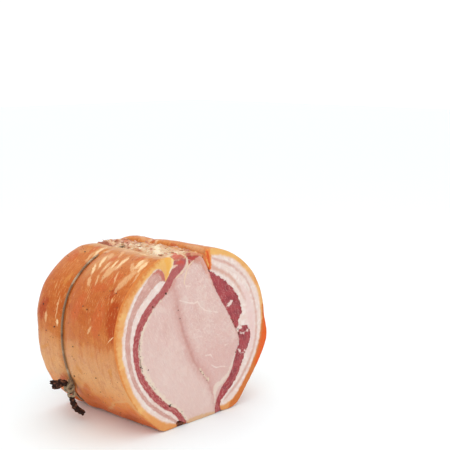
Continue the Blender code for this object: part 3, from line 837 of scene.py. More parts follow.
def block(name, columns, rows, rings):
    """A closed block as a mesh, and its vertices' shares along its line, back and across."""
    bm = bmesh.new()
    bmesh.ops.create_grid(bm, x_segments=columns, y_segments=rows, size=0.5)
    for vert in bm.verts:
        vert.co = (vert.co.x + 0.5, 0.0, vert.co.y + 0.5)
    made = bmesh.ops.extrude_face_region(bm, geom=bm.faces[:], use_keep_orig=True)
    far = [part for part in made["geom"] if isinstance(part, bmesh.types.BMVert)]
    bmesh.ops.translate(bm, verts=far, vec=(0.0, 1.0, 0.0))
    sides = [edge for edge in bm.edges if abs(edge.verts[0].co.y - edge.verts[1].co.y) > 0.5]
    bmesh.ops.subdivide_edges(bm, edges=sides, cuts=rings - 1, use_grid_fill=True)
    mesh = mesh_of(bm, name)
    shares = np.empty(len(mesh.vertices) * 3)
    mesh.vertices.foreach_get("co", shares)
    return mesh, shares.reshape(-1, 3).T


def set_field(mesh, name, values):
    kind = "FLOAT_VECTOR" if values.ndim == 2 else "FLOAT"
    field = mesh.attributes.new(name, kind, "POINT")
    field.data.foreach_set("vector" if values.ndim == 2 else "value", values.astype(np.float32).ravel())


def add(tree, kind, feeds, output=0, **settings):
    """Adds a shader node with its settings, feeds its inputs with values or links, gives its output."""
    node = tree.nodes.new("ShaderNode" + kind)
    for name, value in settings.items():
        setattr(node, name, value)
    for key, feed in feeds.items():
        if isinstance(feed, bpy.types.NodeSocket):
            tree.links.new(feed, node.inputs[key])
        else:
            node.inputs[key].default_value = feed
    return node.outputs[output]


def start_material(name, roughness, **sockets):
    """A Principled material with its uniform values set on the shader; gives its tree and shader."""
    material = bpy.data.materials.new(name)
    material.use_nodes = True
    shader = material.node_tree.nodes["Principled BSDF"]
    shader.inputs["Roughness"].default_value = roughness
    for socket, value in sockets.items():
        shader.inputs[socket.replace("_", " ")].default_value = value
    return material, material.node_tree, shader


def dress(tree, shader, colour, height, distance, strength):
    """Gives a shader its colour and, from a height, its fine relief."""
    tree.links.new(colour, shader.inputs["Base Color"])
    relief = add(tree, "Bump", {"Height": height, "Distance": distance, "Strength": strength})
    tree.links.new(relief, shader.inputs["Normal"])


def stained(tree, under, pattern, start, full, colour, most=1.0):
    """Lays a colour over another as a pattern goes from its start to its full value."""
    mask = add(tree, "MapRange", {"Value": pattern, "From Min": start, "From Max": full, "To Max": most},
               interpolation_type="SMOOTHSTEP")
    return add(tree, "Mix", {0: mask, 6: under, 7: colour}, 2, data_type="RGBA")


def clouded(tree, under, places, clouds):
    """Lays clouds of colour, each with its place, colour, size (mm), start, full and strength."""
    for number, (where, code, size, start, full, most) in enumerate(clouds):
        moved = add(tree, "VectorMath", {0: places[where], 1: (31.0 * number, 17.0 * number, 7.0)})
        pattern = add(tree, "TexNoise", {"Vector": moved, "Scale": 1 / size, "Detail": 3.0,
                                         "Distortion": 0.3})
        under = stained(tree, under, pattern, start, full, linear(code), most)
    return under


def shade(tree, code, colours):
    """The colour behind a code: a hex code, a colour setting's name, or a function that mixes it."""
    if callable(code):
        return code(tree, colours)
    return linear(code) if code.startswith("#") else tuple(getattr(colours, code))


# A mark on the cut: its field, the field's reader and shape, its colour, the softness and raggedness of
# its edge (mm), its strength, and whether it lies above zero. A shape of names stands for section lines.
Mark = namedtuple("Mark", "field reader shape code soft ragged most above", defaults=(0.4, 0.8, 1.0, False))


def marked(tree, under, rough, mark, colours):
    """Lays a mark's colour where its field is below zero, or above it."""
    distance = add(tree, "Attribute", {}, "Fac", attribute_name=mark.field)
    swing = 5 * mark.ragged
    edge = add(tree, "Math", {0: rough, 1: swing, 2: distance}, operation="MULTIPLY_ADD")
    soft = -mark.soft if mark.above else mark.soft
    colour = shade(tree, mark.code, colours)
    return stained(tree, under, edge, swing / 2 + soft, swing / 2 - soft, colour, mark.most)


def threads(size, half, code, most):
    """A step that draws fine curved threads, where a noise along the fibres passes its middle value."""
    def paint(tree, colour, rough, fibres):
        pattern = add(tree, "TexNoise", {"Vector": fibres, "Scale": 1 / size, "Detail": 1.5,
                                         "Distortion": 0.9})
        away = add(tree, "Math", {0: pattern, 1: 0.5}, operation="SUBTRACT")
        gap = add(tree, "Math", {0: away}, operation="ABSOLUTE")
        return stained(tree, colour, gap, half, half * 0.25, linear(code), most)
    return paint


def height_tint(swing, start, full, code, most):
    """A step that tints the cut from one height to another, uneven by the swing (mm)."""
    def paint(tree, colour, rough, fibres):
        section = add(tree, "Attribute", {}, "Vector", attribute_name="section")
        height = add(tree, "SeparateXYZ", {0: section}, "Y")
        uneven = add(tree, "Math", {0: rough, 1: swing, 2: height}, operation="MULTIPLY_ADD")
        return stained(tree, colour, uneven, start, full, linear(code), most)
    return paint


def rind_gold(tree, colours):
    """Colours of the rind's cut edge: gold, browner at the skin and at the foot, lighter at the top."""
    wrap = add(tree, "Attribute", {}, "Vector", attribute_name="wrap")
    section = add(tree, "Attribute", {}, "Vector", attribute_name="section")
    depth = add(tree, "SeparateXYZ", {0: wrap}, "Z")
    height = add(tree, "SeparateXYZ", {0: section}, "Y")
    cloud = add(tree, "TexNoise", {"Vector": wrap, "Scale": 1 / 11, "Detail": 5.0, "Roughness": 0.6})
    uneven = add(tree, "Math", {0: cloud, 1: 5.0, 2: depth}, operation="MULTIPLY_ADD")
    gold = stained(tree, tuple(colours.rind_outer), uneven, 2.4, 4.6, tuple(colours.rind))
    gold = stained(tree, gold, cloud, 0.48, 0.68, linear("#E4B670"), 0.6)
    gold = stained(tree, gold, cloud, 0.48, 0.34, linear("#D68C44"), 0.6)
    top = add(tree, "Math", {0: cloud, 1: 14.0, 2: height}, operation="MULTIPLY_ADD")
    gold = stained(tree, gold, top, 150.0, 176.0, linear("#E2B062"), 0.6)
    low = add(tree, "Math", {0: cloud, 1: 16.0, 2: height}, operation="MULTIPLY_ADD")
    return stained(tree, gold, low, 42.0, 14.0, linear("#D58C4C"), 0.75)


# Marks and other steps of each layer's cut, in the order they are painted
JOINT_STEPS = (
    Mark("joint", broad_field, ("joint",), "#C4938A", 7.0, 3.0, 0.8),
    Mark("joint_line", stroke_field, JOINT_LINE, "#B37A70", 2.4, 0.8, 0.5),
)
RIM_STEP = Mark("upper_rim", stroke_field, UPPER_RIM, "#C58D82", 2.0, 1.5, 0.8)
MEMBRANE_STEP = Mark("membrane", stroke_field, MEMBRANE, "#DCBFA4", 0.5, 0.7)
FOOT_STEP = Mark("foot", foot_field, LOIN_FOOT, "#CFA680", 1.4, 1.0)
LEFT_RIND_STEPS = (
    Mark("streak_side", edge_field, ("streak_outer",), "#C6998D", 0.7),
    Mark("lean_side", short_edge_field, ("lip",), "#B05E56", 0.7, 1.0),
    Mark("rind", edge_field, RIND_EDGE_LEFT, "#DDB795", 2.4, 0.7),
    Mark("rind", edge_field, RIND_EDGE_LEFT, rind_gold, 1.6, 0.7),
    Mark("brow", stroke_field, RIND_BROW, "#CB7430", 3.4, 3.2, 0.9),
    Mark("jelly_halo", stroke_field, JELLY_HALO, "#E8C688", 1.4, 1.6),
    Mark("jelly", stroke_field, JELLY, "jelly", 1.4, 1.2, 0.85),
    Mark("lip_fat", stroke_field, LIP_FAT, "#E3CDB8", 0.7),
)
STREAK_STEPS = (
    Mark("red_tip", stroke_field, STREAK_TIP, "#BA6152", 2.2, 2.0, 0.9),
    Mark("streak_side", edge_field, ("streak_outer",), "#DCC3B8", 0.7, above=True),
    Mark("fat_side", edge_field, ("streak_inner",), "#DCC3B8", 0.7),
)
INNER_FAT_STEPS = (
    Mark("fat_side", edge_field, ("streak_inner",), "#C6998D", 0.7, above=True),
    Mark("lean_side", edge_field, ("lean_outer",), "#AB5A55", 0.7),
)
RIGHT_BELLY_STEPS = (
    Mark("blush", stroke_field, FAT_BLUSH, "#DCBBB6", 4.0, 2.0, 0.7),
    Mark("streak", stroke_field, STREAK_THIN, "#C99A8C", 1.8, 0.8, 0.9),
    Mark("streak_broad", stroke_field, STREAK_BROAD, "#C99886", 2.0, 1.0, 0.85),
    Mark("lean_side", edge_field, ("lean_right",), "#A04A4A", 0.5, 1.2, above=True),
    Mark("rind", edge_field, RIND_EDGE_RIGHT, "#DDB795", 2.4, 0.7),
    Mark("rind_core", core_field, RIND_EDGE_RIGHT, rind_gold, 1.6, 0.7),
    Mark("lip_halo", stroke_field, RIGHT_LIP_HALO, "#DC8440", 1.2, 1.2),
    Mark("lip", stroke_field, RIGHT_LIP, "#CE5416", 1.2, 1.2),
    Mark("ember_halo", stroke_field, EMBER_HALO, "#C66C28", 1.6, 0.8),
    Mark("ember", stroke_field, EMBER, "#D65600", 1.8, 0.8),
)
LEFT_LEAN_STEPS = (
    threads(2.2, 0.025, "#C98E84", 0.5),
    height_tint(24.0, 120.0, 166.0, "#AB5A58", 0.55),
    Mark("lobe", stroke_field, RED_LOBE, "#C04E40", 1.6, 1.8, 0.9),
    Mark("crown", stroke_field, LEAN_CROWN, "#D3A184", 1.4, 2.2),
    Mark("fat_line", stroke_field, RED_LOBE_FAT, "#DDB7A2", 0.6),
    Mark("fat_side", edge_field, ("lip", "lean_outer"), "#DCC4B9", 0.9, 0.9, above=True),
    Mark("loin_side", edge_field, ("lean_top", "lean_inner"), "#D5B1A2", 1.1, 1.0),
    MEMBRANE_STEP,
)
RIGHT_LEAN_STEPS = (
    threads(1.9, 0.025, "#C98E88", 0.55),
    Mark("loin_side", edge_field, ("loin_right",), "#C48A80", 0.9, 1.3, above=True),
    Mark("fat_side", edge_field, ("lean_right",), "#DEC6BD", 0.5, 1.3),
    Mark("notch", stroke_field, LEAN_NOTCH, "#DEC6BD", 0.9, 2.0),
)
LEFT_LOIN_STEPS = (
    height_tint(60.0, 140.0, 90.0, "#D9C0B7", 0.45),
    *JOINT_STEPS,
    Mark("rim", rim_field, ("lean_inner",), "#DAC3B5", 1.6, 1.5, 0.8),
    RIM_STEP,
    Mark("band", stroke_field, HERB_BAND, "#DCC8B4", 1.6, 2.2, 0.8),
    Mark("herb_line", stroke_field, HERB_LINE, "#7D5F4A", 0.5, 1.0, 0.65),
    Mark("lean_side", edge_field, ("lean_inner",), "#A9554F", 0.5, 1.0, above=True),
    FOOT_STEP,
    # Painted shadow, near black, in the gap at the foot of the cut
    Mark("char", stroke_field, GAP_SHADOW, "#3A1D14", 0.6),
)
RIGHT_LOIN_STEPS = (
    threads(6.0, 0.018, "#DFC8BE", 0.5),
    height_tint(50.0, 125.0, 85.0, "#CB9F98", 0.5),
    *JOINT_STEPS,
    Mark("rim", near_field, ("loin_right",), "#C4958B", 3.0, 1.5, 0.75),
    RIM_STEP,
    Mark("dome_top", stroke_field, DOME_TOP, "#BA7C6A", 3.4, 2.0, 0.95),
    Mark("dome_rim", stroke_field, DOME_RIM, "#CF9482", 2.4, 2.0, 0.7),
    Mark("red_top", stroke_field, RED_TOP, "#AC3E34", 1.3, 1.6),
    Mark("veins", stroke_field, LOIN_VEINS, "#E2CDC3", 0.6, 0.5, 0.85),
    Mark("pocket", stroke_field, LOIN_POCKET, "#D9C3B6", 1.0, 1.2),
    Mark("herbs", stroke_field, JOINT_HERBS, "#D9C6AC", 1.0, 2.2, 0.85),
    MEMBRANE_STEP,
    Mark("lean_side", edge_field, ("loin_right",), "#A04A4A", 0.5, 1.3),
    FOOT_STEP,
)

# Grain of the layers: the attribute it follows, its fibres' size along each axis (mm) and their turn
BELLY_GRAIN = ("wrap", (9.0, 50.0, 1.4), 0.0)
RIGHT_BELLY_GRAIN = ("wrap", (12.0, 50.0, 1.6), 0.0)
LEAN_GRAIN = ("wrap", (6.0, 50.0, 1.1), 0.0)
LEFT_LOIN_GRAIN = ("section", (7.0, 1.3, 1.3), radians(119))
RIGHT_LOIN_GRAIN = ("section", (3.2, 1.7, 1.5), radians(130))

# Meats: material, colour setting, tones, grain, steps, roughness and colour at the roasted far end
Meat = namedtuple("Meat", "name base tones grain steps roughness far_code")
RIND_FAT = Meat("cut rind and fat", "fat", FAT_TONES, BELLY_GRAIN, LEFT_RIND_STEPS, 0.36, "#C98A4A")
STREAKY_LEAN = Meat("streaky lean", "streak", STREAK_TONES, BELLY_GRAIN, STREAK_STEPS, 0.42, "#8A4A30")
INNER_FAT = Meat("inner fat", "fat", FAT_TONES, BELLY_GRAIN, INNER_FAT_STEPS, 0.36, "#C98A4A")
RIGHT_FAT = Meat(
    "cut rind and fat, right", "fat", FAT_TONES, RIGHT_BELLY_GRAIN, RIGHT_BELLY_STEPS, 0.36, "#C98A4A")
LEFT_LEAN = Meat(
    "cured lean, left", "red_lean", LEFT_LEAN_TONES, LEAN_GRAIN, LEFT_LEAN_STEPS, 0.38, "#6E3020")
RIGHT_LEAN = Meat(
    "cured lean, right", "red_lean", LEAN_TONES, LEAN_GRAIN, RIGHT_LEAN_STEPS, 0.38, "#6E3020")
LEFT_LOIN = Meat(
    "cooked loin, left", "loin", LOIN_TONES, LEFT_LOIN_GRAIN, LEFT_LOIN_STEPS, 0.42, "#A8693C")
RIGHT_LOIN = Meat(
    "cooked loin, right", "loin", LOIN_TONES, RIGHT_LOIN_GRAIN, RIGHT_LOIN_STEPS, 0.42, "#A8693C")

# Skins: material, tones, marks, seed of the relief and how far it closes over the twine
Skin = namedtuple("Skin", "name tones marks seed buried")
LEFT_SKIN = Skin("roasted skin, left", LEFT_SKIN_TONES, LEFT_SKIN_MARKS, 3.0, LEFT_BURIED)
RIGHT_SKIN = Skin("roasted skin, right", RIGHT_SKIN_TONES, RIGHT_SKIN_MARKS, 11.0, RIGHT_BURIED)


def cut_meat(colours, meat):
    """Cut meat or fat: clouds of tone along its grain, marks painted on, a browned far end.

    Light goes a few millimetres into the moist surface.
    """
    material, tree, shader = start_material(
        meat.name, meat.roughness, Specular_IOR_Level=0.35, Subsurface_Weight=0.12, Subsurface_Scale=0.003,
        Subsurface_Radius=(1.0, 0.4, 0.25), IOR=1.4)
    place = add(tree, "Attribute", {}, "Vector", attribute_name="section")
    followed, size, turn = meat.grain
    followed = add(tree, "Attribute", {}, "Vector", attribute_name=followed)
    fibres = add(tree, "Mapping", {"Vector": followed, "Rotation": (0.0, 0.0, turn), "Scale": size},
                 vector_type="TEXTURE")
    rough = add(tree, "TexNoise", {"Vector": place, "Scale": 1 / 4.5, "Detail": 5.0, "Roughness": 0.6})
    base = tuple(getattr(colours, meat.base))
    colour = clouded(tree, base, {"even": place, "fibres": fibres}, meat.tones)
    for step in meat.steps:
        if isinstance(step, Mark):
            colour = marked(tree, colour, rough, step, colours)
        else:
            colour = step(tree, colour, rough, fibres)
    back = add(tree, "SeparateXYZ", {0: place}, "Z")
    broad = add(tree, "TexNoise", {"Vector": place, "Scale": 1 / 9, "Detail": 5.0})
    reach = add(tree, "Math", {0: broad, 1: 26.0, 2: back}, operation="MULTIPLY_ADD")
    colour = stained(tree, colour, reach, 138.0, 166.0, linear(meat.far_code), 0.9)
    gloss = add(tree, "MapRange", {"Value": broad, "From Min": 0.3, "From Max": 0.7,
                                   "To Min": meat.roughness - 0.1, "To Max": meat.roughness + 0.1})
    tree.links.new(gloss, shader.inputs["Roughness"])
    grit = add(tree, "TexNoise", {"Vector": fibres, "Scale": 2.0, "Detail": 3.0})
    height = add(tree, "Math", {0: rough, 1: 1.5, 2: grit}, operation="MULTIPLY_ADD")
    dress(tree, shader, colour, height, 0.0003, 0.7)
    return material


def mark_shapes(tree, place, marks):
    """How far a place lies from the nearest of some long ovals, as a share of their radii."""
    closest = None
    for run, back, last_run, last_back, half in marks:
        step = (last_run - run, last_back - back)
        middle = ((run + last_run) / 2, (back + last_back) / 2, 0.0)
        local = add(tree, "Mapping", {"Vector": place, "Location": middle,
                                      "Rotation": (0.0, 0.0, atan2(step[1], step[0])),
                                      "Scale": (hypot(*step) / 2 + half, half, 500.0)}, vector_type="TEXTURE")
        away = add(tree, "VectorMath", {0: local}, "Value", operation="LENGTH")
        closest = away if closest is None else add(tree, "Math", {0: closest, 1: away}, operation="MINIMUM")
    return closest


def roasted_skin(name, tones, marks):
    """Roasted rind from outside: glossed with its fat, blotched by the oven, torn in pale streaks, with
    painted highlights among the pale marks.
    """
    material, tree, shader = start_material(name, 0.42, IOR=1.45, Specular_IOR_Level=0.15,
                                            Coat_Weight=0.03, Coat_Roughness=0.22)
    wrap = add(tree, "Attribute", {}, "Vector", attribute_name="wrap")
    run = add(tree, "SeparateXYZ", {0: wrap}, "X")
    back = add(tree, "SeparateXYZ", {0: wrap}, "Y")
    broad = add(tree, "TexNoise", {"Vector": wrap, "Scale": 1 / 24, "Detail": 3.0, "Distortion": 0.6})
    patch = add(tree, "TexNoise", {"Vector": wrap, "Scale": 1 / 8, "Detail": 4.0, "Roughness": 0.55,
                                   "Distortion": 0.5})
    fine = add(tree, "TexNoise", {"Vector": wrap, "Scale": 1 / 1.8, "Detail": 4.0, "Roughness": 0.6})
    long = add(tree, "Mapping", {"Vector": wrap, "Rotation": (0.0, 0.0, 0.12), "Scale": (34.0, 6.0, 50.0)},
               vector_type="TEXTURE")
    drip = add(tree, "TexNoise", {"Vector": long, "Scale": 1.0, "Detail": 3.0, "Roughness": 0.5})
    short = add(tree, "Mapping", {"Vector": wrap, "Rotation": (0.0, 0.0, -0.1), "Scale": (8.0, 1.4, 50.0)},
                vector_type="TEXTURE")
    stroke = add(tree, "TexNoise", {"Vector": short, "Scale": 1.0, "Detail": 3.0})
    wobble = add(tree, "TexNoise", {"Vector": wrap, "Scale": 1 / 5, "Detail": 3.0}, "Color")
    torn = add(tree, "VectorMath", {0: wobble, 1: (5.0, 5.0, 0.0), 2: wrap}, operation="MULTIPLY_ADD")
    torn = add(tree, "VectorMath", {0: torn, 1: (-2.5, -2.5, 0.0)})

    # Tones of the oven along the wrap, in drips and soft blotches
    reach = add(tree, "Math", {0: drip, 1: 26.0, 2: run}, operation="MULTIPLY_ADD")
    reach = add(tree, "Math", {0: broad, 1: 18.0, 2: reach}, operation="MULTIPLY_ADD")
    colour = linear(tones[0][1])
    for (start, _), (full, code) in zip(tones, tones[1:]):
        colour = stained(tree, colour, reach, start + 22.0, full + 22.0, linear(code))
    colour = stained(tree, colour, patch, 0.5, 0.74, linear("#D38C4C"), 0.4)
    colour = stained(tree, colour, patch, 0.48, 0.26, linear("#B2501F"), 0.4)
    colour = stained(tree, colour, drip, 0.5, 0.3, linear("#B65A28"), 0.3)

    # Marks: blotches, folds, torn streaks and painted highlights, brushed out at their edges
    for code, most, places in marks:
        near = mark_shapes(tree, torn, places)
        near = add(tree, "Math", {0: stroke, 1: 1.5, 2: near}, operation="MULTIPLY_ADD")
        near = add(tree, "Math", {0: fine, 1: 0.5, 2: near}, operation="MULTIPLY_ADD")
        colour = stained(tree, colour, near, 2.3, 1.7, linear(code), most)
    # Small pale dots scattered over the skin
    pale_dots = add(tree, "TexVoronoi", {"Vector": wrap, "Scale": 1 / 2.2})
    colour = stained(tree, colour, pale_dots, 0.24, 0.1, linear("#DFA468"), 0.3)

    # Light and dark flecks, fewer on the lower half, and the browned far end
    patchy = add(tree, "Math", {0: broad, 1: 0.5, 2: stroke}, operation="MULTIPLY_ADD")
    calm = add(tree, "MapRange", {"Value": run, "From Min": 105.0, "From Max": 140.0, "To Max": 0.12})
    light = add(tree, "Math", {0: patchy, 1: calm}, operation="SUBTRACT")
    dark = add(tree, "Math", {0: patchy, 1: calm})
    colour = stained(tree, colour, light, 0.82, 0.98, linear("#E2AC70"), 0.45)
    colour = stained(tree, colour, dark, 0.7, 0.54, linear("#A2430F"), 0.4)
    colour = stained(tree, colour, back, 136.0, 146.0, linear("#A6501F"), 0.5)
    grain = add(tree, "TexNoise", {"Vector": wrap, "Scale": 1 / 0.8, "Detail": 3.0, "Roughness": 0.7})
    for speckle, high, dim, bright in ((fine, 0.72, 0.88, 1.09), (grain, 0.7, 0.93, 1.07)):
        factor = add(tree, "MapRange", {"Value": speckle, "From Min": 0.3, "From Max": high,
                                        "To Min": dim, "To Max": bright})
        colour = add(tree, "VectorMath", {0: colour, "Scale": factor}, operation="SCALE")

    gloss = add(tree, "MapRange", {"Value": patch, "From Min": 0.3, "From Max": 0.7,
                                   "To Min": 0.34, "To Max": 0.54})
    tree.links.new(gloss, shader.inputs["Roughness"])
    dress(tree, shader, colour, fine, 0.0004, 0.5)
    return material


def skin_bumps(skin, depth, line):
    """The relief of a side's skin: dents and wrinkles that fade out under the twine and at the cut.

    Near the seam the skin swells enough to close over the twine.
    """
    runs = runs_of(line)
    middles = twine_backs(*line.T)

    def relief(run, back):
        places = np.column_stack((run, back, np.zeros(len(run))))
        lift = waves(places, SKIN_WAVES, [depth * share for share in SKIN_SHARES], skin.seed)
        away = np.abs(back - np.interp(run, runs, middles))
        swell = np.exp(-((away - SWELL_PLACE) / SWELL_HALF) ** 2) * SWELL_HEIGHT
        closed = 1 - share_of(run, skin.buried - BURIED_FADE, skin.buried)
        cover = BURIED_COVER * np.exp(-(away / BURIED_HALF) ** 2) * closed
        return lift * share_of(away, *TWINE_CALM) * share_of(back, *CUT_CALM) + swell + cover
    return relief


def face_relief(points, sizes, depths, seed):
    """How far the cut or the far end stands back at points of the section (mm)."""
    return waves(np.column_stack((points, np.zeros(len(points)))), sizes, depths, seed)


def layer(context, name, slot_name, node, outer, inner, rows, meat, sunk=0.0, skin=None):
    """One layer of the roll, the band between two lines, as a piece: its cut meat and perhaps its skin."""
    sizes, colours = context.scene.porkroll_sizes, context.scene.porkroll_colours
    lines = roll_lines()
    outer, inner = line_of(lines, outer), line_of(lines, inner)
    count = round(LENGTH / (sizes.skin_step / MM))
    backs = np.linspace(0.0, LENGTH, count + 1)[::1 if skin else INNER_STRIDE]
    columns, rings = len(outer) - 1, len(backs) - 1
    mesh, (along, back_share, across) = block(name, columns, rows, rings)
    column = np.rint(along * columns).astype(int)
    row = np.rint(across * rows).astype(int)
    ring = np.rint(back_share * rings).astype(int)
    cell = column * (rows + 1) + row
    depths = np.linspace(0.0, 1.0, rows + 1) ** (SKIN_CROWDING if skin else 1.0)
    grid = (outer[:, None] * (1 - depths)[:, None] + inner[:, None] * depths[:, None]).reshape(-1, 2)
    depth, _, run = nearest(grid, outer)
    back = backs[ring]
    points = grid[cell]
    shown = points.copy()
    front, far = ring == 0, ring == rings
    push = np.zeros(len(points))
    push[front] = face_relief(points[front], *CUT_WAVES, 2.0) + sunk
    push[far] = -face_relief(points[far], *FAR_WAVES, 5.0) - FAR_INSET
    mesh.materials.append(cut_meat(colours, meat))

    if skin:
        mesh.materials.append(roasted_skin(skin.name, skin.tones, skin.marks))
        centres = np.empty(len(mesh.polygons) * 3)
        mesh.polygons.foreach_get("center", centres)
        _, middle, side = centres.reshape(-1, 3).T
        on_skin = (side < 1e-4) & (middle > 1e-4) & (middle < 1 - 1e-4)
        mesh.polygons.foreach_set("material_index", np.where(on_skin, SKIN, CUT).astype(np.int32))
        aims = np.gradient(outer, axis=0)
        outward = np.column_stack((aims[:, 1], -aims[:, 0])) / np.hypot(*aims.T)[:, None]
        outward *= np.sign(((outer - inner) * outward).sum(axis=1).mean())
        relief = skin_bumps(skin, sizes.skin_relief / MM, outer)
        chosen = np.flatnonzero(row == 0)
        shown[chosen] += outward[column[chosen]] * relief(run[cell[chosen]], back[chosen])[:, None]
        near = np.clip(CORNER - depth[cell[front]], 0.0, CORNER)
        push[front] += CORNER - np.sqrt(CORNER ** 2 - near ** 2)

    co = placed(shown, back)
    co[:, 1] += push * MM
    mesh.vertices.foreach_set("co", co.ravel())
    set_field(mesh, "section", np.column_stack((points, back)))
    set_field(mesh, "wrap", np.column_stack((run[cell], back, depth[cell])))
    fields = {}
    for step in meat.steps:
        if isinstance(step, Mark):
            by_name = isinstance(step.shape[0], str)
            fields[step.field] = step.reader(grid, line_of(lines, step.shape) if by_name else step.shape)
    for field, values in fields.items():
        set_field(mesh, field, values[cell])
    turned_out(mesh, WELD)
    mesh.set_sharp_from_angle(angle=SHARP_ANGLE)
    return new_piece(name, mesh, slot_name, node)


class PORKROLL_OT_belly_left(bpy.types.Operator):
    """Model the left side of the belly: rind with outer fat, lean streak and inner fat"""
    bl_idname = "porkroll.belly_left"
    bl_label = "Belly Left"

    def execute(self, context):
        layer(context, "left_rind", "roasted_skin", "belly_left_rind", ("skin_lip", "skin_left"),
              ("lip", "streak_outer"), rows=22, meat=RIND_FAT, skin=LEFT_SKIN)
        layer(context, "left_streak", "streaky_lean", "belly_left_streak", ("streak_outer",),
              ("streak_inner",), rows=10, meat=STREAKY_LEAN, sunk=0.1)
        layer(context, "left_fat", "cooked_fat", "belly_left_fat", ("streak_inner",), ("lean_outer",),
              rows=8, meat=INNER_FAT)
        return {"FINISHED"}


class PORKROLL_OT_belly_right(bpy.types.Operator):
    """Model the right side of the belly: rind over fat with two faint streaks"""
    bl_idname = "porkroll.belly_right"
    bl_label = "Belly Right"

    def execute(self, context):
        layer(context, "right_belly", "roasted_belly", "belly_right", ("skin_right",), ("lean_right",),
              rows=36, meat=RIGHT_FAT, skin=RIGHT_SKIN)
        return {"FINISHED"}


class PORKROLL_OT_red_lean(bpy.types.Operator):
    """Model the dark red lean at both sides of the loin"""
    bl_idname = "porkroll.red_lean"
    bl_label = "Red Lean"

    def execute(self, context):
        layer(context, "left_lean", "red_lean", "lean_left", ("lip", "lean_outer"),
              ("lean_top", "lean_inner"), rows=14, meat=LEFT_LEAN, sunk=0.3)
        layer(context, "right_lean", "red_lean_right", "lean_right", ("loin_right",), ("lean_right",),
              rows=24, meat=RIGHT_LEAN, sunk=0.3)
        return {"FINISHED"}


class PORKROLL_OT_loin(bpy.types.Operator):
    """Model the two pale muscles of the loin"""
    bl_idname = "porkroll.loin"
    bl_label = "Loin"

    def execute(self, context):
        rows = round(LOIN_WIDTH * MM / context.scene.porkroll_sizes.face_step)
        layer(context, "left_loin", "cooked_loin", "loin_left", ("lean_inner",), ("joint",), rows,
              meat=LEFT_LOIN, sunk=0.1)
        layer(context, "right_loin", "cooked_loin_right", "loin_right", ("lean_top", "joint"),
              ("dome", "loin_right"), rows, meat=RIGHT_LOIN, sunk=0.1)
        return {"FINISHED"}


def crust_lift(x, back):
    """Thickness of the herb crust at a place (mm), thinned out towards its borders."""
    crag = noise.fractal(Vector((x, back, 0.0)) / CRUST_CRAG + CRUST_SEED, 0.6, 2.1, 3)
    lift = CRUST_THICKNESS + CRUST_RELIEF * crag
    for lump_x, lump_back, high, wide in FAT_LUMPS:
        away = np.hypot(x - lump_x, back - lump_back) / wide
        lift += high * max(0.0, 1.0 - away * away)
    side = min(x - CRUST_FLOOR[0][0], CRUST_FLOOR[-1][0] - x)
    tip = min(back - CRUST_START, CRUST_END - back)
    thin = CRUST_SIDE_SHARE + (1 - CRUST_SIDE_SHARE) * share_of(side, 0.0, CRUST_SIDE)
    thin *= CRUST_TIP_SHARE + (1 - CRUST_TIP_SHARE) * share_of(tip, 0.0, CRUST_TIP)
    return max(lift, CRUST_LEAST) * thin


def crust_surface(x, z, back):
    """Height of the crust's top over its floor, with its strands and crags; it closes over the twine."""
    strands = 0.9 * noise.noise(Vector((x / 4.0, back / 11.0, 3.0)))
    crags = 0.6 * noise.noise(Vector((x / 3.6, back / 4.4, 5.0)))
    crags += 0.2 * noise.noise(Vector((x, back, 9.0)) / 1.4)
    inside = share_of(min(x - COVER_SIDES[0], COVER_SIDES[1] - x), 0.0, COVER_FADE)
    cover = COVER_HEIGHT * np.exp(-((back - TWINE_PLACE) / COVER_HALF) ** 2) * inside
    lobes = sum(high * max(0.0, 1 - ((x - middle) / half) ** 2) for middle, half, high in FRONT_LOBES)
    lobes *= np.exp(-(back / LOBE_REACH) ** 2)
    return z + crust_lift(x, back) + strands + crags + cover + lobes + np.interp(x, *LIP_FILL)


def crust_ground(colours):
    """Ground of the herb crust: fat and juice baked with herbs, in strands along the seam."""
    material, tree, shader = start_material("herb crust", 0.5, IOR=1.42, Subsurface_Weight=0.1,
                                            Subsurface_Scale=0.002)
    place = add(tree, "Attribute", {}, "Vector", attribute_name="bed")
    back = add(tree, "SeparateXYZ", {0: place}, "Y")
    across = add(tree, "SeparateXYZ", {0: place}, "X")
    strands = add(tree, "Mapping", {"Vector": place, "Rotation": (0.0, 0.0, 1.45), "Scale": (7.0, 1.6, 1.6)},
                  vector_type="TEXTURE")
    rough = add(tree, "TexNoise", {"Vector": place, "Scale": 1 / 4, "Detail": 5.0, "Roughness": 0.65})
    colour = clouded(tree, tuple(colours.crust), {"even": place, "strands": strands}, CRUST_TONES)
    wall = add(tree, "Math", {0: rough, 1: 18.0, 2: across}, operation="MULTIPLY_ADD")
    colour = stained(tree, colour, wall, 45.0, 53.0, linear("#C98547"), 0.8)
    reach = add(tree, "Math", {0: rough, 1: 30.0, 2: back}, operation="MULTIPLY_ADD")
    colour = stained(tree, colour, reach, 108.0, 124.0, linear("#C68764"), 0.75)
    for code, most, places in CRUST_MARKS:
        near = mark_shapes(tree, place, places)
        edge = add(tree, "Math", {0: rough, 1: 1.8, 2: near}, operation="MULTIPLY_ADD")
        colour = stained(tree, colour, edge, 2.3, 1.5, linear(code), most)
    dress(tree, shader, colour, rough, 0.0007, 0.7)
    return material


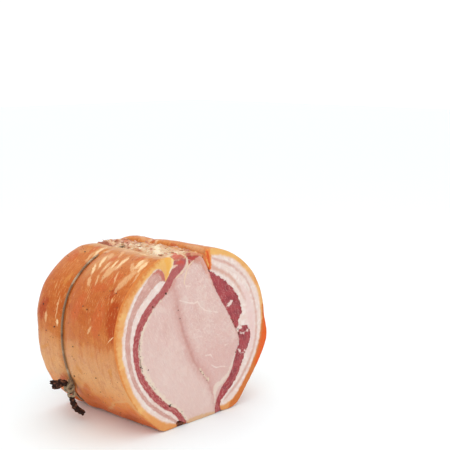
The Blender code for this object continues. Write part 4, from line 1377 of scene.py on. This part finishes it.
class PORKROLL_OT_herb_crust(bpy.types.Operator):
    """Model the crust of fat, herbs and pepper in the seam on top"""
    bl_idname = "porkroll.herb_crust"
    bl_label = "Herb Crust"

    def execute(self, context):
        mesh, (along, back_share, across) = block("crust_bed", BED_COLUMNS, 1, BED_RINGS)
        column = np.rint(along * BED_COLUMNS).astype(int)
        x, z = smooth_line(BED_FLOOR, BED_COLUMNS)[column].T
        back = BED_START + back_share * (CRUST_END - BED_START)
        raised = np.array([crust_surface(*place) if top > 0.5 else place[1] - BED_DEEP
                           for *place, top in zip(x, z, back, across)])
        mesh.vertices.foreach_set("co", placed(np.column_stack((x, raised)), back).ravel())
        set_field(mesh, "bed", np.column_stack((x, back, raised)))
        turned_out(mesh)
        mesh.materials.append(crust_ground(context.scene.porkroll_colours))
        new_piece("crust_bed", mesh, "herb_crust", "herb_crust")
        return {"FINISHED"}


def scattered(name, count, seed, sizes, flat, ragged, backs, along):
    """One mesh of small bits strewn over the crust: sizes (mm), flatness, raggedness and range."""
    random = Random(seed)
    floor = smooth_line(BED_FLOOR, 60)
    bm = bmesh.new()
    for _ in range(count):
        x = random.uniform(*BIT_SIDES)
        back = backs[0] + (backs[1] - backs[0]) * random.random() ** backs[2]
        z = float(np.interp(x, floor[:, 0], floor[:, 1]))
        place = spot(x, crust_surface(x, z, back) - 0.5 * sizes[1][0] * flat, back)
        heading = random.gauss(*BIT_HEADING) if along else random.uniform(0, 2 * pi)
        turn = Euler((random.uniform(-BIT_TILT, BIT_TILT), random.uniform(-BIT_TILT, BIT_TILT), heading))
        length = random.uniform(*sizes[0]) / 2 * MM
        width = random.uniform(*sizes[1]) / 2 * MM
        shape = Matrix.LocRotScale(place, turn, Vector((length, width, width * flat)))
        made = bmesh.ops.create_icosphere(bm, subdivisions=2, radius=1.0, matrix=shape)
        bend = random.uniform(-BIT_BEND, BIT_BEND)
        side = turn.to_matrix() @ Vector((0.0, 0.6, 0.8))
        for vert in made["verts"]:
            away = vert.co - place
            share = away.length / length
            swell = ragged * noise.noise(vert.co / (width * 1.3))
            vert.co += away * swell + side * bend * length * share * share
    return mesh_of(bm, name)


def bit_material(name, tones, roughness, translucence, size):
    """Bits of the crust: two tones that change from bit to bit."""
    material, tree, shader = start_material(name, roughness, IOR=1.42, Subsurface_Weight=translucence,
                                            Subsurface_Scale=0.002)
    place = add(tree, "TexCoord", {}, "Object")
    tone = add(tree, "TexNoise", {"Vector": place, "Scale": 1 / (size * MM), "Detail": 2.0})
    colour = stained(tree, linear(tones[0]), tone, 0.44, 0.58, linear(tones[1]))
    dress(tree, shader, colour, tone, 0.0004, 0.6)
    return material


class PORKROLL_OT_crust_bits(bpy.types.Operator):
    """Scatter shreds of meat, chunks of fat, crumbs, herbs and pepper over the crust"""
    bl_idname = "porkroll.crust_bits"
    bl_label = "Crust Bits"

    def execute(self, context):
        sizes = context.scene.porkroll_sizes
        # Shreds of roasted lean pulled off the seam, brown-red and fibrous
        meat = bit_material("roasted meat shreds", ("#C98E72", "#B0654A"), 0.45, 0.1, 5.0)
        # Chunks of soft fat, cream to white
        fat = bit_material("chunks of fat", ("#E6D4B4", "#D3AE86"), 0.4, 0.15, 6.0)
        # Crumbs of browned fat and juice
        crumb = bit_material("browned crumbs", ("#D3A070", "#A8602F"), 0.5, 0.1, 4.0)
        # Dried rosemary and fennel leaf, green gone to brown
        herb = bit_material("dried herb leaf", ("#7E7A3C", "#74502A"), 0.7, 0.0, 5.0)
        # Coarsely cracked black pepper
        pepper = bit_material("cracked pepper on crust", ("#2A150D", "#5B3320"), 0.5, 0.0, 1.0)
        all_over = (4.0, 142.0, 1.0)
        flakes, crumbs = sizes.herb_flakes, sizes.crust_crumbs
        kinds = (
            ("meat_shreds", meat, 64, 11, ((5.0, 12.0), (1.6, 3.4)), 0.4, 0.3, (6.0, 131.0, 0.7), True),
            ("fat_chunks", fat, 52, 13, ((4.0, 9.0), (1.8, 4.0)), 0.35, 0.4, (8.0, 132.0, 1.1), True),
            ("crust_crumbs", crumb, crumbs, 29, ((0.7, 1.8), (0.6, 1.4)), 0.8, 0.6, all_over, False),
            ("herb_flakes", herb, flakes, 17, ((0.9, 2.4), (0.35, 0.6)), 0.5, 0.2, all_over, False),
            ("crust_pepper", pepper, 34, 23, ((0.7, 1.3), (0.6, 1.1)), 0.9, 0.5, all_over, False),
        )
        for name, material, *rest in kinds:
            mesh = scattered(name, *rest)
            mesh.materials.append(material)
            new_piece(name, mesh, "herb_crust")
        return {"FINISHED"}


class PORKROLL_OT_burnt_juice(bpy.types.Operator):
    """Fill the gap at the foot of the left lean with burnt juice"""
    bl_idname = "porkroll.burnt_juice"
    bl_label = "Burnt Juice"

    def execute(self, context):
        mesh, shares = block("burnt_juice", *JUICE_MESH)
        for vert, (along, back, across) in zip(mesh.vertices, shares.T.tolist()):
            x = JUICE_START + JUICE_WIDTH * along
            top = max(0.4, np.interp(x, *JUICE_TOP))
            wave = 0.3 * noise.noise(Vector((x, back * 40.0, across * 3.0)))
            place = spot(x, 0.2 + top * across, JUICE_BACKS[0] + back * JUICE_BACKS[1])
            vert.co = place + Vector((0.0, wave * MM if back < 0.01 else 0.0, 0.0))
        turned_out(mesh)
        # Meat juice baked to a black-brown glaze
        mesh.materials.append(bit_material("burnt juice", ("#5A2814", "#A2562A"), 0.6, 0.0, 3.0))
        new_piece("burnt_juice", mesh, "red_lean")
        return {"FINISHED"}


def pepper_mesh(name, places, seed):
    """Cracked pepper as one mesh of small uneven lumps, given as places and radii in metres."""
    random = Random(seed)
    bm = bmesh.new()
    for place, radius in places:
        shape = Vector([radius * random.uniform(0.6, 1.3) for _ in range(3)])
        turn = Euler([random.uniform(0, 2 * pi) for _ in range(3)])
        made = bmesh.ops.create_icosphere(bm, subdivisions=2, radius=1.0,
                                          matrix=Matrix.LocRotScale(place, turn, shape))
        for vert in made["verts"]:
            vert.co += (vert.co - place) * 0.6 * noise.noise(vert.co / (0.6 * MM))
    return mesh_of(bm, name)


class PORKROLL_OT_pepper(bpy.types.Operator):
    """Press cracked pepper into the skin and the cut"""
    bl_idname = "porkroll.pepper"
    bl_label = "Pepper"

    def execute(self, context):
        random = Random(41)
        skin = line_of(roll_lines(), ("skin_lip", "skin_left"))
        runs = runs_of(skin)
        aims = np.gradient(skin, axis=0)
        outward = np.column_stack((aims[:, 1], -aims[:, 0])) / np.hypot(*aims.T)[:, None]
        relief = skin_bumps(LEFT_SKIN, context.scene.porkroll_sizes.skin_relief / MM, skin)
        spread = [(random.uniform(*PEPPER_RUNS), random.uniform(*PEPPER_BACKS), random.uniform(*PEPPER_RADII))
                  for _ in range(PEPPER_COUNT)]
        places = []
        for run, back, radius in (*SKIN_PEPPER, *spread):
            lift = relief(np.array([run]), np.array([back]))[0]
            x, z = (np.interp(run, runs, skin[:, i]) + np.interp(run, runs, outward[:, i]) * lift
                    for i in (0, 1))
            places.append((spot(x, z, back), radius * MM))
        bits = list(FACE_PEPPER)
        for band, count in ((HERB_BAND[0], 14), (RIGHT_HERBS[0], 16), (JOINT_HERBS[0], 6)):
            for _ in range(count):
                place = random.uniform(0.0, len(band) - 1.001)
                first, second = band[int(place)], band[int(place) + 1]
                t = place - int(place)
                x, z, half = (a + (b - a) * t for a, b in zip(first, second))
                bits.append((x + random.uniform(-half, half), z + random.uniform(-1.5, 1.5),
                             random.uniform(*HERB_RADII)))
        for x, z, radius in bits:
            places.append((spot(x, z, PEPPER_DEPTH), radius * MM))
        mesh = pepper_mesh("cracked_pepper", places, 5)
        # Coarsely cracked black pepper and dark herb bits
        mesh.materials.append(bit_material("cracked pepper", ("#2F1A10", "#5E4526"), 0.5, 0.0, 2.0))
        new_piece("cracked_pepper", mesh, "herb_crust")
        return {"FINISHED"}


def twine_path(lines):
    """The turn of twine round the roll: the section's hull at its plane, let out by the radius.

    On top it lies lower, where fat and crust have closed over it.
    """
    skin = np.vstack((line_of(lines, ("skin_lip", "skin_left")), lines["skin_right"]))
    outline = [Vector((x, z)) for x, _, z in placed(skin, twine_backs(*skin.T)) / MM]
    for x, z in smooth_line(CRUST_FLOOR, 40):
        for back in TWINE_FLAT:
            across, _, up = placed(np.array([[x, z + crust_lift(x, back)]]), np.array([back]))[0] / MM
            outline.append(Vector((across, up)))
    hull = []
    for corner in (outline[i] for i in convex_hull_2d(outline)):
        if not hull or (corner - hull[-1]).length > HULL_STEP:
            hull.append(corner)
    centre = Vector((0.0, MIDDLE_HEIGHT))
    wide, high = station_values(np.array([TWINE_PLACE]))[0, :2]
    path = []
    for before, corner, after in zip(hull[-1:] + hull[:-1], hull, hull[1:] + hull[:1]):
        first, second = (corner - before).normalized(), (after - corner).normalized()
        out = Vector((first.y + second.y, -first.x - second.x)).normalized()
        if out.dot(corner - centre) < 0:
            out = -out
        across = corner.x + DRAWING_MIDDLE
        hidden = share_of(across, *BURIED_LEFT) * share_of(across, *BURIED_RIGHT)
        hidden *= share_of(corner.y, *BURIED_HEIGHTS)
        place = corner + out * (TWINE_RADIUS - BURIED_DIP * hidden)
        back = twine_backs(DRAWING_MIDDLE + place.x / wide, MIDDLE_HEIGHT + (place.y - MIDDLE_HEIGHT) / high)
        path.append(Vector((place.x, float(back) - LENGTH / 2, place.y)))
    return path


def resampled(points, step, closed):
    """Points of a path in equal steps (mm); a closed path is eased through its corners."""
    nodes = np.array([tuple(point) for point in points])
    if closed:
        nodes = np.vstack((nodes, nodes[:1]))
    runs = runs_of(nodes)
    count = max(4, round(runs[-1] / step))
    at = np.linspace(0.0, runs[-1], count + 1)
    fine = np.column_stack([np.interp(at, runs, nodes[:, i]) for i in range(3)])
    if closed:
        fine = fine[:-1]
        for _ in range(6):
            fine = (np.roll(fine, 1, axis=0) + 2 * fine + np.roll(fine, -1, axis=0)) / 4
    return fine


def strand_points(path, closed, offset, turns, phase):
    """One strand that winds round a path, at one distance from it or one for each point (mm)."""
    count = len(path)
    aims = np.roll(path, -1, axis=0) - np.roll(path, 1, axis=0) if closed else np.gradient(path, axis=0)
    aims /= np.linalg.norm(aims, axis=1)[:, None]
    side = np.cross(aims, (0.0, 1.0, 0.0)) + np.cross(aims, (0.3, 0.0, 0.1)) * 1e-3
    side /= np.linalg.norm(side, axis=1)[:, None]
    other = np.cross(aims, side)
    angle = 2 * pi * turns * np.arange(count) / count + phase
    swing = np.cos(angle)[:, None] * side + np.sin(angle)[:, None] * other
    return path + swing * np.reshape(offset, (-1, 1))


def tube_mesh(name, points, radii, closed, sides=2):
    """A round tube along points (mm) with a radius at each, closed to a ring or capped at its ends."""
    curve = bpy.data.curves.new(name, "CURVE")
    curve.dimensions = "3D"
    curve.bevel_depth = 1.0
    curve.bevel_resolution = sides
    curve.use_fill_caps = not closed
    spline = curve.splines.new("POLY")
    spline.points.add(len(points) - 1)
    for node, point, radius in zip(spline.points, points, np.broadcast_to(radii, len(points))):
        node.co = (*(point * MM), 1.0)
        node.radius = radius * MM
    spline.use_cyclic_u = closed
    guide = bpy.data.objects.new(name, curve)
    bpy.context.scene.collection.objects.link(guide)
    bpy.context.view_layer.update()
    mesh = bpy.data.meshes.new_from_object(guide.evaluated_get(bpy.context.evaluated_depsgraph_get()))
    bpy.data.objects.remove(guide)
    bpy.data.curves.remove(curve)
    return mesh


def merged(name, meshes):
    """Several meshes as one, with their doubles joined and their faces turned out."""
    bm = bmesh.new()
    for mesh in meshes:
        bm.from_mesh(mesh)
        bpy.data.meshes.remove(mesh)
    bmesh.ops.remove_doubles(bm, verts=bm.verts, dist=1e-6)
    bmesh.ops.recalc_face_normals(bm, faces=bm.faces)
    return mesh_of(bm, name)


def laid_twine(points, closed, radius, twist):
    """The meshes of three strands twisted together along a path."""
    turns = max(1, round(runs_of(points)[-1] / twist))
    strands = [strand_points(points, closed, radius * 1.1, turns, 2 * pi * i / 3) for i in range(3)]
    return [tube_mesh("strand", strand, radius, closed) for strand in strands]


def loose_fibres(path, count, seed, spread):
    """Short loose fibres that stand off a path (mm)."""
    random = Random(seed)
    fibres = []
    for _ in range(count):
        at = path[random.randrange(len(path))]
        heading = np.array([random.gauss(0, 1) for _ in range(3)])
        heading /= np.linalg.norm(heading)
        start = at + heading * spread
        bend = np.array([random.gauss(0, 0.8) for _ in range(3)])
        points = np.array([start, start + heading * 0.9 + bend * 0.3, start + heading * 1.5 + bend])
        fibres.append(tube_mesh("fibre", points, (0.09, 0.07, 0.04), False, sides=0))
    return fibres


def cotton_twine(colours):
    """Cotton kitchen twine: matt, greyed by smoke and fat, with darker stains along it."""
    material, tree, shader = start_material("cotton twine", 0.8, IOR=1.45, Sheen_Weight=0.2)
    place = add(tree, "TexCoord", {}, "Object")
    stain = add(tree, "TexNoise", {"Vector": place, "Scale": 45.0, "Detail": 4.0})
    colour = stained(tree, tuple(colours.twine), stain, 0.5, 0.38, linear("#56402C"))
    colour = stained(tree, colour, stain, 0.55, 0.7, linear("#BFAC8C"))
    # Paler low down, over the knot: paler cotton there, with painted highlight on its loops
    height = add(tree, "SeparateXYZ", {0: place}, "Z")
    colour = stained(tree, colour, height, 0.046, 0.036, linear("#B09C7C"), 0.6)
    fibre = add(tree, "TexNoise", {"Vector": place, "Scale": 2500.0, "Detail": 2.0})
    dress(tree, shader, colour, fibre, 0.0002, 0.5)
    return material


def charred_twine(colours):
    """Twine ends burnt to a brittle brown-black crust with ashy spots."""
    material, tree, shader = start_material("charred twine", 0.75, Specular_IOR_Level=0.2)
    place = add(tree, "TexCoord", {}, "Object")
    tone = add(tree, "TexNoise", {"Vector": place, "Scale": 350.0, "Detail": 4.0})
    colour = stained(tree, tuple(colours.char), tone, 0.46, 0.7, linear("#6B4230"))
    dress(tree, shader, colour, tone, 0.0006, 0.8)
    return material


def knot_centre(path):
    """The middle of the knot, out from the twine's point that is nearest to its place."""
    foot = np.array((KNOT_SPOT[0] - DRAWING_MIDDLE, TWINE_PLACE - LENGTH / 2, KNOT_SPOT[1]))
    place = path[np.argmin(np.linalg.norm(path - foot, axis=1))]
    out = np.array((place[0], 0.0, place[2] - MIDDLE_HEIGHT))
    return place + out / np.linalg.norm(out) * KNOT_RISE


class PORKROLL_OT_twine(bpy.types.Operator):
    """Tie the twisted twine round the roll, with its knot"""
    bl_idname = "porkroll.twine"
    bl_label = "Twine"

    def execute(self, context):
        sizes, colours = context.scene.porkroll_sizes, context.scene.porkroll_colours
        radius, twist = sizes.strand_radius / MM, sizes.twist_length / MM
        path = resampled(twine_path(roll_lines()), TWINE_STEP, True)
        meshes = laid_twine(path, True, radius, twist)
        centre = knot_centre(path)
        for wide, high, tilt, lean, shift in KNOT_LOOPS:
            turn = Euler((tilt, lean, 0.3)).to_matrix()
            ring = np.array([tuple(turn @ Vector((wide * cos(a), 1.6 * sin(2 * a), high * sin(a))))
                             for a in (2 * pi * i / KNOT_STEPS for i in range(KNOT_STEPS))])
            loop = centre + ring + np.array(shift)
            meshes += laid_twine(loop, True, radius * 1.05, twist * 0.6)
            meshes += loose_fibres(loop, 12, int(wide * 10), radius * 1.8)
        meshes += loose_fibres(path, 90, 3, radius * 1.8)
        mesh = merged("twine_turn", meshes)
        mesh.materials.append(cotton_twine(colours))
        new_piece("twine_turn", mesh, "kitchen_twine", "twine")
        return {"FINISHED"}


class PORKROLL_OT_charred_ends(bpy.types.Operator):
    """Add the charred ends of the twine at its knot"""
    bl_idname = "porkroll.charred_ends"
    bl_label = "Charred Ends"

    def execute(self, context):
        centre = knot_centre(resampled(twine_path(roll_lines()), TWINE_STEP, True))
        meshes = []
        for route in (TAIL_BACK, TAIL_PRONG, TAIL_FRONT):
            points = [Vector((centre[0] + x, back - LENGTH / 2, centre[2] + z)) for x, back, z, _ in route]
            line = resampled(smooth_line(points, 24), TAIL_STEP, False)
            steps = np.linspace(0, len(route) - 1, len(line))
            radii = np.interp(steps, range(len(route)), [row[3] for row in route])
            turns = len(line) * TAIL_STEP / TAIL_TWIST
            for i in range(3):
                strand = strand_points(line, False, radii * 0.55, turns, 2 * pi * i / 3)
                meshes.append(tube_mesh("end", strand, radii * 0.58, False, sides=4))
        mesh = merged("charred_ends", meshes)
        for vert in mesh.vertices:
            lift = 0.45 * noise.noise(vert.co / (1.6 * MM)) + 0.25 * noise.noise(vert.co / (0.7 * MM))
            vert.co += vert.normal * lift * MM
        mesh.materials.append(charred_twine(context.scene.porkroll_colours))
        new_piece("charred_ends", mesh, "kitchen_twine")
        return {"FINISHED"}


class PORKROLL_OT_stage(bpy.types.Operator):
    """Set up the plain floor, the soft studio lights and the camera"""
    bl_idname = "porkroll.stage"
    bl_label = "Stage"

    def execute(self, context):
        scene, stage = context.scene, context.scene.porkroll_stage
        bm = bmesh.new()
        bmesh.ops.create_grid(bm, x_segments=1, y_segments=1, size=FLOOR_HALF)
        mesh = mesh_of(bm, "studio_floor")
        material, _, shader = start_material("painted studio floor", 0.6)
        shader.inputs["Base Color"].default_value = stage.floor
        mesh.materials.append(material)
        floor = bpy.data.objects.new("studio_floor", mesh)
        floor.location.z = -FLOOR_DROP
        scene.collection.objects.link(floor)

        for name, place, size in LIGHTS:
            lamp = bpy.data.lights.new(name, "AREA")
            lamp.energy = getattr(stage, name)
            lamp.size = size
            light = bpy.data.objects.new(name, lamp)
            light.location = place
            light.rotation_euler = (LIGHT_AIM - Vector(place)).to_track_quat("-Z", "Y").to_euler()
            scene.collection.objects.link(light)

        world = bpy.data.worlds.new("white room")
        world.use_nodes = True
        backdrop = world.node_tree.nodes["Background"]
        backdrop.inputs["Color"].default_value = linear("#FFFFFF")
        backdrop.inputs["Strength"].default_value = stage.surround
        scene.world = world
        scene.view_settings.view_transform = "Standard"

        lens = bpy.data.cameras.new("camera")
        lens.lens = CAMERA_LENS
        camera = bpy.data.objects.new("camera", lens)
        camera.location = CAMERA_PLACE
        camera.rotation_euler = CAMERA_TURN
        scene.collection.objects.link(camera)
        scene.camera = camera
        return {"FINISHED"}


class PORKROLL_PT_panel(bpy.types.Panel):
    """Lists the roll's settings and its pieces"""
    bl_label = "Pork Roll"
    bl_idname = "PORKROLL_PT_panel"
    bl_space_type = "VIEW_3D"
    bl_region_type = "UI"
    bl_category = "Pork Roll"

    def draw(self, context):
        scene = context.scene
        for group in (scene.porkroll_sizes, scene.porkroll_colours, scene.porkroll_stage):
            box = self.layout.box()
            for name in group.__annotations__:
                box.prop(group, name)
        for step in OPERATORS:
            self.layout.operator(step.bl_idname)


OPERATORS = (
    PORKROLL_OT_stage, PORKROLL_OT_belly_left, PORKROLL_OT_belly_right, PORKROLL_OT_red_lean,
    PORKROLL_OT_loin, PORKROLL_OT_herb_crust, PORKROLL_OT_crust_bits, PORKROLL_OT_burnt_juice,
    PORKROLL_OT_pepper, PORKROLL_OT_twine, PORKROLL_OT_charred_ends,
)
GROUPS = (RollSizes, RollColours, StageSettings)


def register():
    for item in (*GROUPS, *OPERATORS, PORKROLL_PT_panel):
        bpy.utils.register_class(item)
    bpy.types.Scene.porkroll_sizes = PointerProperty(type=RollSizes)
    bpy.types.Scene.porkroll_colours = PointerProperty(type=RollColours)
    bpy.types.Scene.porkroll_stage = PointerProperty(type=StageSettings)


def unregister():
    del bpy.types.Scene.porkroll_sizes
    del bpy.types.Scene.porkroll_colours
    del bpy.types.Scene.porkroll_stage
    for item in reversed((*GROUPS, *OPERATORS, PORKROLL_PT_panel)):
        bpy.utils.unregister_class(item)


def main():
    register()
    for step in OPERATORS:
        group, name = step.bl_idname.split(".")
        getattr(getattr(bpy.ops, group), name)()


if __name__ == "__main__":
    main()
